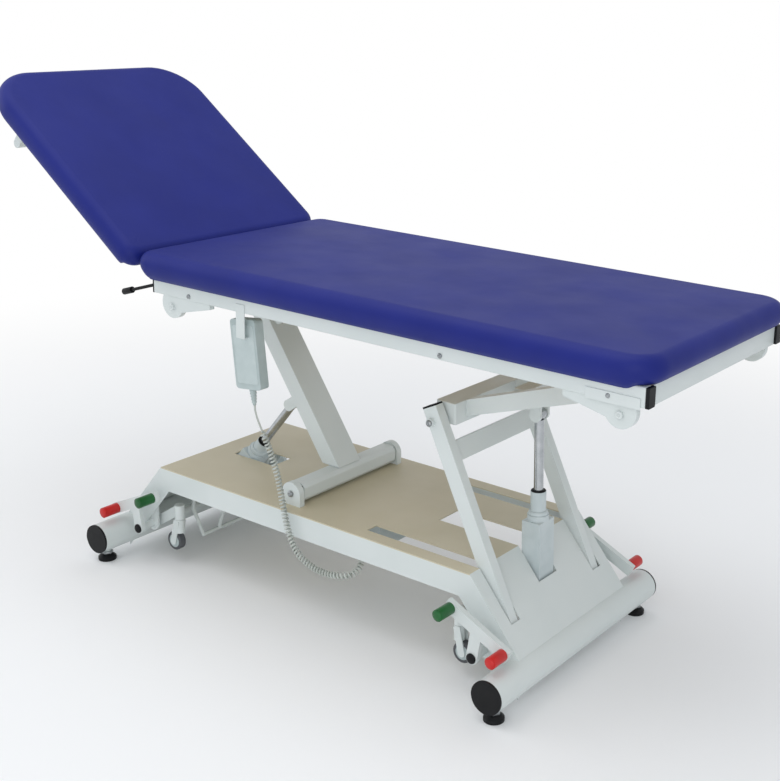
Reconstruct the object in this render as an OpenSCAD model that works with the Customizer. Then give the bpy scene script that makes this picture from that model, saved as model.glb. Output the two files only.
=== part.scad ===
// Height-adjustable examination table with a rising backrest.
// The head is at -X, the foot end at +X, and the floor is z = 0.
// A pair of profile points is written [x, z], and sizes across the table lie along Y.

/* [Cushions] */
// Width of both cushions
pad_w = 650; // [600:1:720]
// Thickness of both cushions
pad_t = 58; // [50:1:70]
// Rise of the crown in the middle of a cushion
pad_crown = 2; // [0.5:0.5:6]
// Pull of a cushion's long side between its corners
pad_pull = 2; // [0.5:0.5:5]
// Length of the seat cushion
seat_len = 1404; // [1300:1:1460]
// Length of the backrest cushion
back_len = 681; // [560:1:760]
// Corner radius at the foot end of the seat cushion
seat_foot_r = 105; // [80:1:115]
// Corner radius at the top of the backrest cushion
back_top_r = 120; // [60:1:180]
// Corner radius where the two cushions meet
crease_r = 42; // [36:1:48]
// Raise of the backrest as it is drawn
back_angle = 36; // [20:1:45]

/* [Table frame] */
// Height of the top of the rails above the floor
rail_top = 797; // [790:1:805]
// Height of a rail's section
rail_h = 41; // [36:1:46]
// Width of a rail's section
rail_w = 25; // [20:1:32]
// Width over the two rails
frame_w = 600; // [560:1:620]
// Head end of the rails
rail_head_x = -407; // [-415:1:-400]
// Foot end of the rails
rail_foot_x = 938; // [925:1:945]
// Thickness of the boards under the cushions
board_t = 10; // [8:1:12]
// Height of the frame's cross members
member_h = 30; // [24:1:31]
// Depth of a cross member along the table
member_w = 30; // [24:1:36]

/* [Lift] */
// Lower pivot of the head arm, along the table
arm_pivot_x = -65; // [-70:1:-60]
// Lower pivot of the head arm above the floor
arm_pivot_z = 293; // [290:1:297]
// Distance between the two pivots of the head arm and of the leg frame
link_len = 503.7; // [500:0.1:508]
// Slope of the line through the two pivots
link_angle = 62.06; // [61:0.01:63]
// Top pivot of the leg frame, along the table
yoke_pivot_x = 352; // [348:1:356]
// Top pivot of the leg frame above the floor
yoke_pivot_z = 567; // [563:1:571]
// Width of the head arm's tube
arm_w = 80; // [60:1:90]
// Depth of the head arm's tube
arm_d = 46; // [36:1:50]
// Width of one leg's tube
leg_w = 25; // [18:1:30]
// Depth of one leg's tube
leg_d = 38; // [30:1:40]
// Distance between the middles of the two legs
leg_gauge = 340; // [330:1:350]
// Height of the yoke's tubes
yoke_d = 38; // [30:1:40]
// Width of the yoke's arms
yoke_w = 30; // [24:1:40]
// Distance between the middles of the yoke's arms
yoke_gauge = 190; // [170:1:210]

/* [Drives] */
// Width of a drive's motor housing across the table
motor_w = 60; // [50:1:62]
// Depth of a drive's motor housing
motor_d = 48; // [40:1:50]
// Diameter of a drive's outer tube
drive_tube_d = 36; // [30:1:38]
// Diameter of a drive's rod
drive_rod_d = 22; // [18:1:24]
// Diameter of the pins of the drives
drive_pin_d = 10; // [8:0.5:12]

/* [Base] */
// Height of the deck's top above the floor
deck_z = 264; // [262:1:267]
// Length of the deck's level part
deck_len = 990; // [980:1:1000]
// Width of the deck
deck_w = 446; // [440:1:460]
// Thickness of the deck's sheet
sheet_t = 3; // [2:0.5:4]
// Height of the deck's skirts
skirt_h = 60; // [40:1:70]
// Diameter of the cross tubes
tube_d = 76; // [70:1:78]
// Length of the cross tubes with their caps
tube_len = 670; // [640:1:700]
// Distance between the middles of the cross tubes
tube_gauge = 1248; // [1244:1:1252]
// Height of the cross tubes' middle above the floor
tube_z = 65; // [62:1:66]
// Distance between the middles of the feet across the table
foot_gauge = 604; // [580:1:620]
// Diameter of a foot's pad
foot_d = 46; // [36:1:56]

/* [Castors] */
// Distance of a castor shaft from the middle of the base
shaft_x = 537; // [535:1:539]
// Height of a castor shaft above the floor
shaft_z = 97; // [94:1:98]
// Diameter of a castor shaft
shaft_d = 20; // [16:1:22]
// Distance of a castor's stem from the middle of the base
castor_x = 455; // [450:1:460]
// Distance between the middles of two castors across the table
castor_gauge = 400; // [396:1:404]
// Diameter of a castor's wheel
wheel_d = 50; // [44:1:54]
// Width of a castor's wheel
wheel_w = 18; // [14:1:20]
// Gap between a lifted wheel and the floor
wheel_lift = 36; // [32:1:40]
// Distance between the middles of the pedal bars across the table
pedal_gauge = 524; // [510:1:530]
// Diameter of a pedal's coloured cap
pedal_cap_d = 27; // [24:1:30]
// Length of a pedal's coloured cap
pedal_cap_len = 45; // [35:1:55]

/* [Hand control] */
// Height of the hand control
handset_h = 165; // [140:1:190]
// Width of the hand control
handset_w = 80; // [60:1:90]
// Depth of the hand control
handset_t = 26; // [20:1:30]
// Diameter of the hand control's cord
cord_d = 4.6; // [4:0.1:5]
// Diameter over the cord's curls
curl_d = 16; // [15:0.5:18]
// Number of curls in the cord
curls = 70; // [50:1:80]
/* [Hidden] */
$fn = 32;

// One overrun for every cut, and the clearances that the pieces share
over = 1;
seat_gap = 0.3;
pin_gap = 0.05;
side_gap = 1;

// Pivots of the lift. The link between the pivots is the same for the arm and the leg frame
link = link_len * [-cos(link_angle), sin(link_angle)];
arm_pivot = [arm_pivot_x, arm_pivot_z];
frame_pivot = arm_pivot + link;
yoke_pivot = [yoke_pivot_x, yoke_pivot_z];
leg_pivot = yoke_pivot - link;
pivot_pin_d = 12;
boss_d = 30;

// Base
slope_low_z = tube_z + tube_d / 2;
slope_past = 6;
slope_run = tube_gauge / 2 + slope_past;
deck_end = deck_len / 2;
slope_angle = atan2(deck_z - slope_low_z, slope_run - deck_end);
slope_rise_t = sheet_t / cos(slope_angle);
head_slot_w = 70;
slot_past = 60;
foot_slot = [266, deck_end + slot_past];
foot_slot_w = 74;
side_slot = [172, 584];
side_slot_w = leg_w + 9;
end_cap_t = 5;
stem_d = 20;
pad_h = 16;

// Head arm. It runs beside the link's line, which its bearings and lugs meet
arm_angle = 55.4;
arm_foot = [-46, 277];
arm_top = [-342, 706];
arm_cross_len = 340;
arm_cross_w = 50;
arm_cross_h = 46;
lug_t = 8;

// Drives. Each lies between its lower pin on the base and its rod's eye
head_drive_in = 15;
foot_drive_out = 32;
head_drive_pin = [head_drive_in - deck_end, 144];
head_drive_eye = [-240, 434];
foot_drive_pin = [deck_end + foot_drive_out, 140];
foot_drive_eye = [514, 574];
// Room in the deck behind and ahead of the place where the head drive goes through it
slot_behind = 43;
slot_ahead = 99;
head_drive_rise = (deck_z - head_drive_pin[1]) / (head_drive_eye[1] - head_drive_pin[1]);
head_drive_cross = head_drive_pin + (head_drive_eye - head_drive_pin) * head_drive_rise;
head_slot = [head_drive_cross[0] - slot_behind, head_drive_cross[0] + slot_ahead];
head_motor_len = 162;
head_tube_len = 210;
foot_motor_len = 185;
foot_tube_len = 253;
rod_start = 196;
collar_t = 1;
bore_start = 52;
fork_gap = 26;
fork_t = 6;
eye_d = 26;
pin_boss_d = 20;

// Leg frame
leg_angle = 64.3;
leg_top_z = 600;
crossbar_mid = [393, 500];
crossbar_h = 45;
crossbar_t = 25;
cap_t = 4;

// Yoke, which is welded under the rails
yoke_low = [392, 590];
yoke_high = [850, rail_top - rail_h - yoke_d / 2];
yoke_cross_len = 300;
fork_bar = [514, 633];
fork_bar_d = 36;

// Rails and their cross members
rail_low = rail_top - rail_h;
member_z = rail_top - board_t - member_h;
member_places = [-392, -286, -160, 60, 480, 850];
sleeve = [806, 925];
disc_r = 35;
disc_t = 14;
head_disc = [-342, 738];
foot_disc = [881, 740];
tail_len = 127;

// Backrest, drawn level and then raised about its hinge
back_hinge = [-478, rail_top + 8];
back_pin_d = 6;
ear_d = 18;
ear_t = 7;
ear_y = 235;
back_foot_x = -474;
back_edge = 30;
back_tube = 24;
roll_place = 545;
roll_drop = 42;
roll_rod_d = 10;
gas_y = -120;
gas_pivot = [-160, 698];
gas_lug = [-540, 694];
gas_d = 22;
gas_rod_d = 10;
gas_len = 190;
gas_rod_start = 84;
lever_pivot = [-418, 770];
lever_tip = [-508, 742];
lever_in = 22;
lever_y = lever_in - frame_w / 2;
lever_d = 8;
knob_d = 16;

// Castors and pedals, drawn for the foot end and mirrored for the head end
pedal_high = [466, 203];
pedal_low = [630, 128];
pedal_bar_h = 28;
pedal_bar_w = 14;
plate_t = 6;
castor_arm_z = 150;
stem_r = 13;
castor_trail = 14;
wheel_z = wheel_lift + wheel_d / 2;
axle_d = 6;

// Hand control and its curly cord
handset_place = [-110, 655];
handset_y = -275;
handset_lean = 6.5;
handset_r = 9;
relief_len = 40;
relief_d = 16;
curl_route = [
  [-91, -272, 500], [-84, -263, 466], [-72, -252, 420], [-58, -243, 360], [-46, -240, 297], [-30, -240, 232],
  [-4, -240, 182], [40, -242, 158], [90, -244, 152], [130, -243, 160], [156, -230, 174],
  [164, -208, 192], [160, -186, 207]
];
gland_place = [150, 215];
box_x = [30, 170];
box_y = [-140, 40];
box_z = [195, deck_z - sheet_t];
gland_d = 14;
gland_len = 14;

// The part is drawn about the middle of its footprint
pad_overhang = 20;
foot_tip = rail_foot_x + pad_overhang;
back_end_mid = [back_foot_x - back_len + pad_t / 2, rail_top + seat_gap + pad_t / 2];
head_tip = (back_hinge + turned(back_end_mid - back_hinge, back_angle))[0] - pad_t / 2;
middle_x = (foot_tip + head_tip) / 2;

function turned(p, a) = [p[0] * cos(a) + p[1] * sin(a), -p[0] * sin(a) + p[1] * cos(a)];
function span(mid, size) = [mid - size / 2, mid + size / 2];
function heading(a, b) = atan2(b[1] - a[1], b[0] - a[0]);
function along(a, b, s) = a + (b - a) * s / norm(b - a);

module placed() translate([-middle_x, 0, 0]) children();
module both_sides() {
  children();
  mirror([0, 1, 0]) children();
}
// A block between two limits on each axis
module block(x, y, z) translate([x[0], y[0], z[0]]) cube([x[1] - x[0], y[1] - y[0], z[1] - z[0]]);
// A side view, [x, z], carried across the table from y[0] to y[1]
module across(y) translate([0, y[1], 0]) rotate([90, 0, 0]) linear_extrude(y[1] - y[0]) children();
module rod_across(p, d, y) across(y) translate(p) circle(d = d);
// A straight bar seen from the side, with square ends
module bar_2d(a, b, depth)
  translate(a) rotate(heading(a, b)) translate([0, -depth / 2]) square([norm(b - a), depth]);
// A lug with one round end at a and a square end at b, a little narrower in its neck
neck_share = 0.96;
module lug_2d(a, b, depth) {
  translate(a) circle(d = depth);
  bar_2d(a, b, neck_share * depth);
}
// Puts the children, drawn along +X from the origin, on the line from a to b at the width y
module on_line(a, b, y = 0) translate([a[0], y, a[1]]) rotate([0, -heading(a, b), 0]) children();
module rod_on_line(a, b, d, from, to, y = 0)
  on_line(a, b, y) translate([from, 0, 0]) rotate([0, 90, 0]) cylinder(d = d, h = to - from);
module rounded_2d(w, h, r) {
  square([w - 2 * r, h], center = true);
  square([w, h - 2 * r], center = true);
  for (x = [-1, 1], y = [-1, 1]) translate([x * (w / 2 - r), y * (h / 2 - r)]) circle(r = r);
}

// Deck and base
module deck_cuts() {
  block(head_slot, [-head_slot_w, head_slot_w] / 2, [slope_low_z, deck_z + over]);
  block(foot_slot, [-foot_slot_w, foot_slot_w] / 2, [slope_low_z, deck_z + over]);
  both_sides() block(side_slot, span(leg_gauge / 2, side_slot_w), [slope_low_z, deck_z + over]);
}
module deck_top() color("tan") placed() difference() {
  block([-deck_len, deck_len] / 2, [-deck_w, deck_w] / 2, [deck_z - sheet_t, deck_z]);
  deck_cuts();
}
module tube_cuts() for (s = [-1, 1])
  rod_across([s * tube_gauge / 2, tube_z], tube_d + 2 * pin_gap, [-deck_w, deck_w]);
// A sheet that runs down from the deck's end to the cross tube
module slope(s) difference() {
  mirror([(1 - s) / 2, 0, 0]) across([-deck_w, deck_w] / 2) polygon([
    [deck_end, deck_z], [slope_run, slope_low_z], [slope_run, slope_low_z - slope_rise_t],
    [deck_end, deck_z - slope_rise_t]
  ]);
  deck_cuts();
  tube_cuts();
}
module head_slope() color("gainsboro") placed() slope(-1);
module foot_slope() color("gainsboro") placed() slope(1);
// The skirts under the deck's long edges, which follow its slopes down
module deck_skirts() color("gainsboro") placed() difference() {
  drop = skirt_h / cos(slope_angle);
  both_sides() for (s = [0, 1]) mirror([s, 0, 0]) across([deck_w / 2 - sheet_t, deck_w / 2]) polygon([
    [0, deck_z - sheet_t], [deck_end, deck_z - sheet_t], [deck_end, deck_z - slope_rise_t],
    [slope_run, slope_low_z - slope_rise_t], [slope_run, slope_low_z - drop],
    [deck_end - skirt_h * tan(slope_angle / 2), deck_z - skirt_h], [0, deck_z - skirt_h]
  ]);
  tube_cuts();
}
module cross_tube(s) rod_across([s * tube_gauge / 2, tube_z], tube_d, [-1, 1] * (tube_len / 2 - end_cap_t));
module head_cross_tube() color("gainsboro") placed() cross_tube(-1);
module foot_cross_tube() color("gainsboro") placed() cross_tube(1);
module tube_end_caps() color("black") placed() both_sides() for (s = [-1, 1])
  rod_across([s * tube_gauge / 2, tube_z], tube_d, [tube_len / 2 - end_cap_t, tube_len / 2]);
module foot_stems() color("white") placed() both_sides() for (s = [-1, 1])
  translate([s * tube_gauge / 2, foot_gauge / 2, pad_h]) difference() {
    cylinder(d = stem_d, h = tube_z - tube_d / 2 - pad_h + stem_d / 2);
    translate([0, -tube_d, tube_z - pad_h]) rotate([-90, 0, 0])
      cylinder(d = tube_d + 2 * pin_gap, h = 2 * tube_d);
  }
module foot_pads() color("black") placed() both_sides() for (s = [-1, 1])
  translate([s * tube_gauge / 2, foot_gauge / 2, 0]) {
    cylinder(d = foot_d, h = pad_h / 2);
    translate([0, 0, pad_h / 2]) cylinder(d1 = foot_d, d2 = stem_d + pad_h / 2, h = pad_h / 2, $fn = 48);
  }
arm_bearing_y = arm_cross_len / 2 + cap_t + side_gap;
module arm_bearings() color("white") placed() both_sides()
  across([arm_bearing_y, arm_bearing_y + 2 * lug_t]) difference() {
    union() {
      translate(arm_pivot) circle(d = 2 * (arm_pivot_z - deck_z));
      translate([arm_pivot_x - (arm_pivot_z - deck_z), deck_z])
        square([2, 1] * (arm_pivot_z - deck_z));
    }
    translate(arm_pivot) circle(d = pivot_pin_d + 2 * pin_gap);
  }
module leg_bearings() color("gainsboro") placed() {
  inner = (leg_gauge - leg_w) / 2 - cap_t - side_gap;
  outer = (leg_gauge + leg_w) / 2 + cap_t + side_gap;
  reach = leg_pivot + boss_d * [sin(slope_angle), cos(slope_angle)];
  both_sides() {
    for (y = [inner - lug_t, outer]) difference() {
      across([y, y + lug_t]) lug_2d(leg_pivot, reach, boss_d - 2 * side_gap);
      above_slope();
    }
    rod_across(leg_pivot, pivot_pin_d, [inner - lug_t, outer + lug_t]);
  }
}
// All that lies above the sheet of the foot end's slope
module above_slope() across([-deck_w, deck_w] / 2) polygon([
  [0, deck_z - sheet_t], [deck_len / 2, deck_z - sheet_t], [deck_len / 2, deck_z - slope_rise_t],
  [slope_run, slope_low_z - slope_rise_t], [slope_run + deck_z, slope_low_z - slope_rise_t],
  [slope_run + deck_z, 2 * deck_z], [0, 2 * deck_z]
]);
module drive_brackets() color("gainsboro") placed() {
  from = motor_w / 2 + side_gap;
  for (s = [-1, 1]) {
    pin = s < 0 ? head_drive_pin : foot_drive_pin;
    y = s < 0 ? from : foot_slot_w / 2 + side_gap;
    both_sides() difference() {
      across([y, y + fork_t]) lug_2d(pin, [pin[0], deck_z], boss_d);
      if (s > 0) above_slope();
      else mirror([1, 0, 0]) above_slope();
    }
    rod_across(pin, drive_pin_d, [-1, 1] * (y + fork_t));
  }
}
module shaft_bearings() color("gainsboro") placed() both_sides() for (s = [0, 1]) mirror([s, 0, 0]) {
  y = deck_w / 2 - sheet_t;
  difference() {
    across([y - plate_t, y]) lug_2d([shaft_x, shaft_z], [shaft_x, deck_z], 2 * shaft_d);
    rod_across([shaft_x, shaft_z], shaft_d + 2 * pin_gap, [y - plate_t - over, y + over]);
    above_slope();
  }
}
module control_box() color("dimgray") placed() {
  block(box_x, box_y, box_z);
  rod_across(gland_place, gland_d, [box_y[0] - gland_len, box_y[0]]);
}
// Bar at the head end that a foot presses down, hung from the deck by two lugs of its own
bar_place = [-443, 60];
bar_pivot = [-470, 190];
elbow = [-480, 123];
bar_half = 132;
bar_d = 10;
elbow_d = 11;
bar_switch = [-411, 150];
bar_switch_y = -77;
module foot_bar() color("white") placed() {
  rod_across(bar_place, bar_d, [-bar_half, bar_half]);
  both_sides() {
    translate([bar_place[0], bar_half, bar_place[1]]) sphere(d = elbow_d);
    rod_on_line(bar_place, elbow, bar_d, 0, norm(elbow - bar_place), bar_half);
    translate([elbow[0], bar_half, elbow[1]]) sphere(d = elbow_d);
    rod_on_line(elbow, bar_pivot, bar_d, 0, norm(bar_pivot - elbow), bar_half);
    rod_across(bar_pivot, 2 * bar_d, [bar_half - bar_d, bar_half + bar_d]);
  }
  rod_on_line(bar_place, bar_switch, bar_d, 0, norm(bar_switch - bar_place), bar_switch_y);
}

// Head arm
module arm_tube() color("gainsboro") placed() difference() {
  across([-arm_w, arm_w] / 2) bar_2d(arm_foot, arm_top, arm_d);
  block(span(arm_pivot_x, 2 * arm_cross_w), [-arm_w, arm_w], [0, arm_pivot_z + arm_cross_h / 2]);
}
module arm_cross_tube() color("gainsboro") placed() {
    across(span(0, arm_cross_len)) translate(arm_pivot) intersection() {
      square([arm_cross_w, arm_cross_h], center = true);
      circle(d = 2 * (arm_pivot_z - deck_z - side_gap));
    }
    both_sides() rod_across(arm_pivot, arm_cross_h, [arm_cross_len / 2, arm_cross_len / 2 + cap_t]);
    rod_across(arm_pivot, pivot_pin_d, [-1, 1] * (arm_bearing_y + 2 * lug_t));
}
module arm_brackets() color("gainsboro") placed() {
  both_sides() {
    across([fork_gap / 2, fork_gap / 2 + fork_t]) difference() {
      lug_2d(head_drive_eye, head_drive_eye + boss_d * 2 * [sin(arm_angle), cos(arm_angle)], boss_d);
      translate(arm_foot) rotate(heading(arm_foot, arm_top)) translate([0, -arm_d * 2 + arm_d / 2])
        square([link_len * 2, arm_d * 2]);
    }
    across([arm_w / 2, arm_w / 2 + lug_t]) lug_2d(frame_pivot, along(arm_top, arm_foot, arm_d), boss_d);
  }
  rod_across(frame_pivot, pivot_pin_d, [-1, 1] * (arm_w / 2 + 2 * lug_t + side_gap));
}

// Drives
module motor(from, to, body_len, tube_reach, eye_w) {
  difference() {
    union() {
      on_line(from, to) {
        translate([eye_d, -motor_w / 2, -motor_d / 2]) cube([body_len - eye_d, motor_w, motor_d]);
        translate([body_len, 0, 0]) rotate([0, 90, 0]) cylinder(d = motor_d + 2 * collar_t, h = eye_d / 2);
        rotate([0, 90, 0]) cylinder(d = drive_tube_d, h = tube_reach);
      }
      rod_across(from, eye_d + drive_pin_d / 2, [-1, 1] * eye_w / 2);
    }
    rod_across(from, drive_pin_d + 2 * pin_gap, [-motor_w, motor_w]);
    on_line(from, to) translate([bore_start, 0, 0]) rotate([0, 90, 0])
      cylinder(d = drive_rod_d + 4 * pin_gap, h = tube_reach);
  }
}
module rod_with_eye(from, to) {
  rod_on_line(from, to, drive_rod_d, rod_start, norm(to - from) - eye_d / 2 + over);
  rod_across(to, eye_d, [-1, 1] * (fork_gap / 2 - side_gap));
}
module head_motor() color("lightgray") placed()
  motor(head_drive_pin, head_drive_eye, head_motor_len, head_tube_len, motor_w - side_gap);
module head_rod() color("silver") placed() rod_with_eye(head_drive_pin, head_drive_eye);
module foot_motor() color("lightgray") placed()
  motor(foot_drive_pin, foot_drive_eye, foot_motor_len, foot_tube_len, motor_w - side_gap);
module foot_rod() color("silver") placed() rod_with_eye(foot_drive_pin, foot_drive_eye);

// Leg frame
leg_axis = [cos(leg_angle), -sin(leg_angle)];
leg_mark = [354.7, 580];
leg_head = leg_mark + (leg_mark[1] - leg_top_z) * [1 / tan(leg_angle), -1];
leg_foot = leg_head + leg_axis * (leg_top_z - leg_pivot[1]) / sin(leg_angle);
module leg() difference() {
  union() {
    across(span(leg_gauge / 2, leg_w)) {
      bar_2d(leg_head, leg_foot, leg_d);
      translate(leg_pivot) circle(d = boss_d);
      translate(yoke_pivot) circle(d = boss_d);
    }
    rod_across(yoke_pivot, pin_boss_d, span(leg_gauge / 2, leg_w) + [0, 2 * cap_t]);
    rod_across(leg_pivot, boss_d, span(leg_gauge / 2, leg_w + 2 * cap_t));
  }
  rod_across(leg_pivot, pivot_pin_d + 2 * pin_gap, [0, leg_gauge]);
}
module near_leg() color("gainsboro") placed() mirror([0, 1, 0]) leg();
module far_leg() color("gainsboro") placed() leg();
module leg_crossbar() color("gainsboro") placed()
  across([-1, 1] * (leg_gauge - leg_w) / 2) translate(crossbar_mid) rotate(-leg_angle)
    square([crossbar_h, crossbar_t], center = true);
module leg_caps() color("black") placed() both_sides() across(span(leg_gauge / 2, leg_w))
  bar_2d(leg_head, leg_head - cap_t * leg_axis, leg_d);

// Table frame
module on_rail(x) block(x, [frame_w / 2 - rail_w, frame_w / 2], [rail_low, rail_top]);
module rail() on_rail([rail_head_x + cap_t, rail_foot_x - cap_t]);
module near_rail() color("gainsboro") placed() mirror([0, 1, 0]) rail();
module far_rail() color("gainsboro") placed() rail();
module cross_members() color("gainsboro") placed() {
  inner = frame_w / 2 - rail_w;
  for (x = member_places)
    block(span(x, member_w), [-inner, inner], [member_z, member_z + member_h]);
  block([rail_foot_x - cap_t - rail_w, rail_foot_x - cap_t], [-inner, inner], [rail_low, rail_top - board_t]);
}
module rail_caps() color("black") placed() both_sides() {
  on_rail([rail_head_x, rail_head_x + cap_t]);
  on_rail([rail_foot_x - cap_t, rail_foot_x + cap_t]);
}
sleeve_share = 0.45;
module foot_sleeves() color("white") placed() both_sides()
  block(sleeve, [frame_w / 2, frame_w / 2 + cap_t / 2], [rail_low - cap_t, rail_low + sleeve_share * rail_h]);
tail_t = 12;
tail_share = 0.7;
module disc_bracket(p, s) {
  across([frame_w / 2 - rail_w + disc_t / 2, frame_w / 2 - disc_t / 4]) difference() {
    union() {
      translate(p) circle(r = disc_r);
      polygon([
        p + [0, -disc_r * tail_share], [p[0] + s * tail_len, rail_low - tail_t],
        [p[0] + s * tail_len, rail_low], [p[0], rail_low]
      ]);
    }
    translate([p[0] - tail_len * 2, rail_low]) square([tail_len * 4, disc_r * 2]);
  }
  rod_across(p - [0, disc_t / 2], disc_t, [frame_w / 2 - disc_t / 4, frame_w / 2]);
}
module disc_brackets() color("white") placed() both_sides() {
  disc_bracket(head_disc, 1);
  disc_bracket(foot_disc, -1);
}
module yoke() color("gainsboro") placed() {
  low_end = yoke_low;
  both_sides() across(span(yoke_gauge / 2, yoke_w)) polygon([
    low_end + [0, -yoke_d / 2], low_end + [0, yoke_d / 2], yoke_high + [-yoke_d / 2, yoke_d / 2],
    yoke_high + [yoke_d / 2, yoke_d / 2], yoke_high + [yoke_d / 2, -yoke_d / 2], yoke_high + [0, -yoke_d / 2]
  ]);
  across([-1, 1] * (yoke_gauge - yoke_w) / 2) translate(fork_bar) square(fork_bar_d, center = true);
  both_sides() difference() {
    across([fork_gap / 2, fork_gap / 2 + fork_t])
      lug_2d(foot_drive_eye, fork_bar - [0, fork_bar_d / 2], boss_d);
    across([0, fork_gap]) translate(fork_bar) square(fork_bar_d, center = true);
  }
}
// The cross tube's width, and how far it hangs and stands, as shares of the yoke arms' depth
yoke_cross_shares = [1.4, 0.8, 0.5];
module yoke_cross_tube() color("gainsboro") placed()
  block([yoke_low[0] - yoke_d * yoke_cross_shares[0], yoke_low[0]], [-yoke_cross_len, yoke_cross_len] / 2,
    [yoke_low[1] - yoke_d * yoke_cross_shares[1], yoke_low[1] + yoke_d * yoke_cross_shares[2]]);
module frame_lugs() color("gainsboro") placed() {
  y = arm_w / 2 + lug_t + side_gap;
  for (side = [-1, 1]) across(span(gas_y + side * (ear_t + side_gap), ear_t))
    lug_2d(gas_pivot, [gas_pivot[0], member_z], gas_d);
  rod_across(gas_pivot, back_pin_d, span(gas_y, 3 * ear_t));
  both_sides() {
    across([y, y + lug_t]) difference() {
      lug_2d(frame_pivot, [frame_pivot[0], member_z], boss_d);
      translate(frame_pivot) circle(d = pivot_pin_d + 2 * pin_gap);
    }
    across([ear_y - ear_t, ear_y]) difference() {
      union() {
        lug_2d(back_hinge, [rail_head_x - ear_d / 2, member_z + member_h / 2], ear_d);
        translate([rail_head_x - ear_d, member_z]) square([ear_d, member_h]);
      }
      translate(back_hinge) circle(d = back_pin_d + 2 * pin_gap);
    }
  }
}
module seat_board() color("burlywood") placed()
  block([rail_head_x, rail_foot_x - cap_t], [-1, 1] * (frame_w / 2 - rail_w), [rail_top - board_t, rail_top]);

// Cushions. Rings of points climb from the underside round the edge to the crown
arc_steps = 8;
side_steps = 8;
edge_steps = 8;
crown_shares = [0.82, 0.5, 0.2];
function corner_arc(c, r, from) =
  [for (i = [0:arc_steps]) let (a = from + 90 * i / arc_steps) c + r * [cos(a), sin(a)]];
function drawn_side(a, b, y) = [for (i = [1:side_steps - 1])
  [a + (b - a) * i / side_steps, y - sign(y) * pad_pull * sin(180 * i / side_steps)]];
function pad_outline(x, w, r, d) = concat(
  corner_arc([x[1] - r[1], w / 2 - r[1]], r[1] - d, 0),
  drawn_side(x[1] - r[1], x[0] + r[0], w / 2 - d),
  corner_arc([x[0] + r[0], w / 2 - r[0]], r[0] - d, 90),
  corner_arc([x[0] + r[0], r[0] - w / 2], r[0] - d, 180),
  drawn_side(x[0] + r[0], x[1] - r[1], d - w / 2),
  corner_arc([x[1] - r[1], r[1] - w / 2], r[1] - d, 270));
module pad(x, w, r, z, t) {
  half = t / 2;
  mid = [(x[0] + x[1]) / 2, 0];
  edge = [for (k = [0:edge_steps]) let (a = 180 * k / edge_steps - 90)
    [for (p = pad_outline(x, w, r, half * (1 - cos(a)))) [p[0], p[1], z + half + half * sin(a)]]];
  crown = [for (s = crown_shares)
    [for (p = pad_outline(x, w, r, half)) concat(mid + s * (p - mid), z + t + pad_crown * (1 - s * s))]];
  rings = concat(edge, crown);
  n = len(rings[0]);
  last = len(rings) - 1;
  points = concat([for (ring = rings) each ring], [[mid[0], 0, z]], [[mid[0], 0, z + t + pad_crown]]);
  base = len(points) - 2;
  faces = concat(
    [for (k = [0:last - 1], i = [0:n - 1]) [k * n + i, (k + 1) * n + i, (k + 1) * n + (i + 1) % n]],
    [for (k = [0:last - 1], i = [0:n - 1]) [k * n + i, (k + 1) * n + (i + 1) % n, k * n + (i + 1) % n]],
    [for (i = [0:n - 1]) [base, i, (i + 1) % n]],
    [for (i = [0:n - 1]) [base + 1, last * n + (i + 1) % n, last * n + i]]);
  polyhedron(points, faces);
}
module seat_cushion() color("royalblue") placed()
  pad([foot_tip - seat_len, foot_tip], pad_w, [crease_r, seat_foot_r], rail_top + seat_gap, pad_t);

// Backrest, drawn level inside raised(), which turns it about its hinge
module raised() translate([back_hinge[0], 0, back_hinge[1]]) rotate([0, back_angle, 0])
  translate([-back_hinge[0], 0, -back_hinge[1]]) children();
pocket_gap = 2.5;
// Room round the hinge's ears, over the heights z, in the pad and in its board
module ear_pocket(z)
  block([back_hinge[0] - pocket_len, back_hinge[0] + back_tube],
    [ear_y - ear_t - pocket_gap, ear_y + ear_t + pocket_gap + side_gap], z);
pocket_len = 92;
module back_cushion() color("royalblue") placed() raised() difference() {
  pad([back_foot_x - back_len, back_foot_x], pad_w, [back_top_r, crease_r], rail_top + seat_gap, pad_t);
  both_sides() ear_pocket([rail_top - over, back_hinge[1] + ear_d / 2 + pocket_gap]);
}
back_board_x = [back_foot_x - back_len + back_edge, back_foot_x - back_edge];
module back_board() color("burlywood") placed() raised() difference() {
  block(back_board_x, [-1, 1] * (frame_w / 2 - back_edge), [rail_top - board_t, rail_top]);
  both_sides() ear_pocket([rail_top - board_t - over, rail_top + over]);
}
module back_frame() color("gainsboro") placed() raised() {
  z = [rail_top - board_t - back_tube, rail_top - board_t];
  y = ear_y + side_gap;
  tube_x = [back_board_x[0] + back_top_r / 2, back_board_x[1] - back_edge];
  roll_x = back_foot_x - roll_place;
  mid_z = (z[0] + z[1]) / 2;
  both_sides() {
    block(tube_x, [y + side_gap, y + side_gap + back_tube], z);
    across([y, y + ear_t]) lug_2d(back_hinge, [tube_x[1] - back_edge / 2, mid_z], ear_d);
    rod_across(back_hinge, back_pin_d, [y - side_gap - ear_t, y + ear_t / 2]);
    across([y + 2 * side_gap, y + back_tube]) lug_2d([roll_x, z[0] - roll_drop], [roll_x, mid_z], back_tube);
  }
  for (x = [tube_x[0], gas_lug[0] - back_tube / 2])
    block([x + side_gap, x + back_tube], [-1, 1] * (y + back_tube / 2), [z[0] + side_gap, z[1] - side_gap]);
  across(span(gas_y, ear_t)) lug_2d(gas_lug, [gas_lug[0], mid_z], ear_d);
  rod_across([roll_x, z[0] - roll_drop], roll_rod_d, [-1, 1] * (y + back_tube / 2));
}
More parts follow.
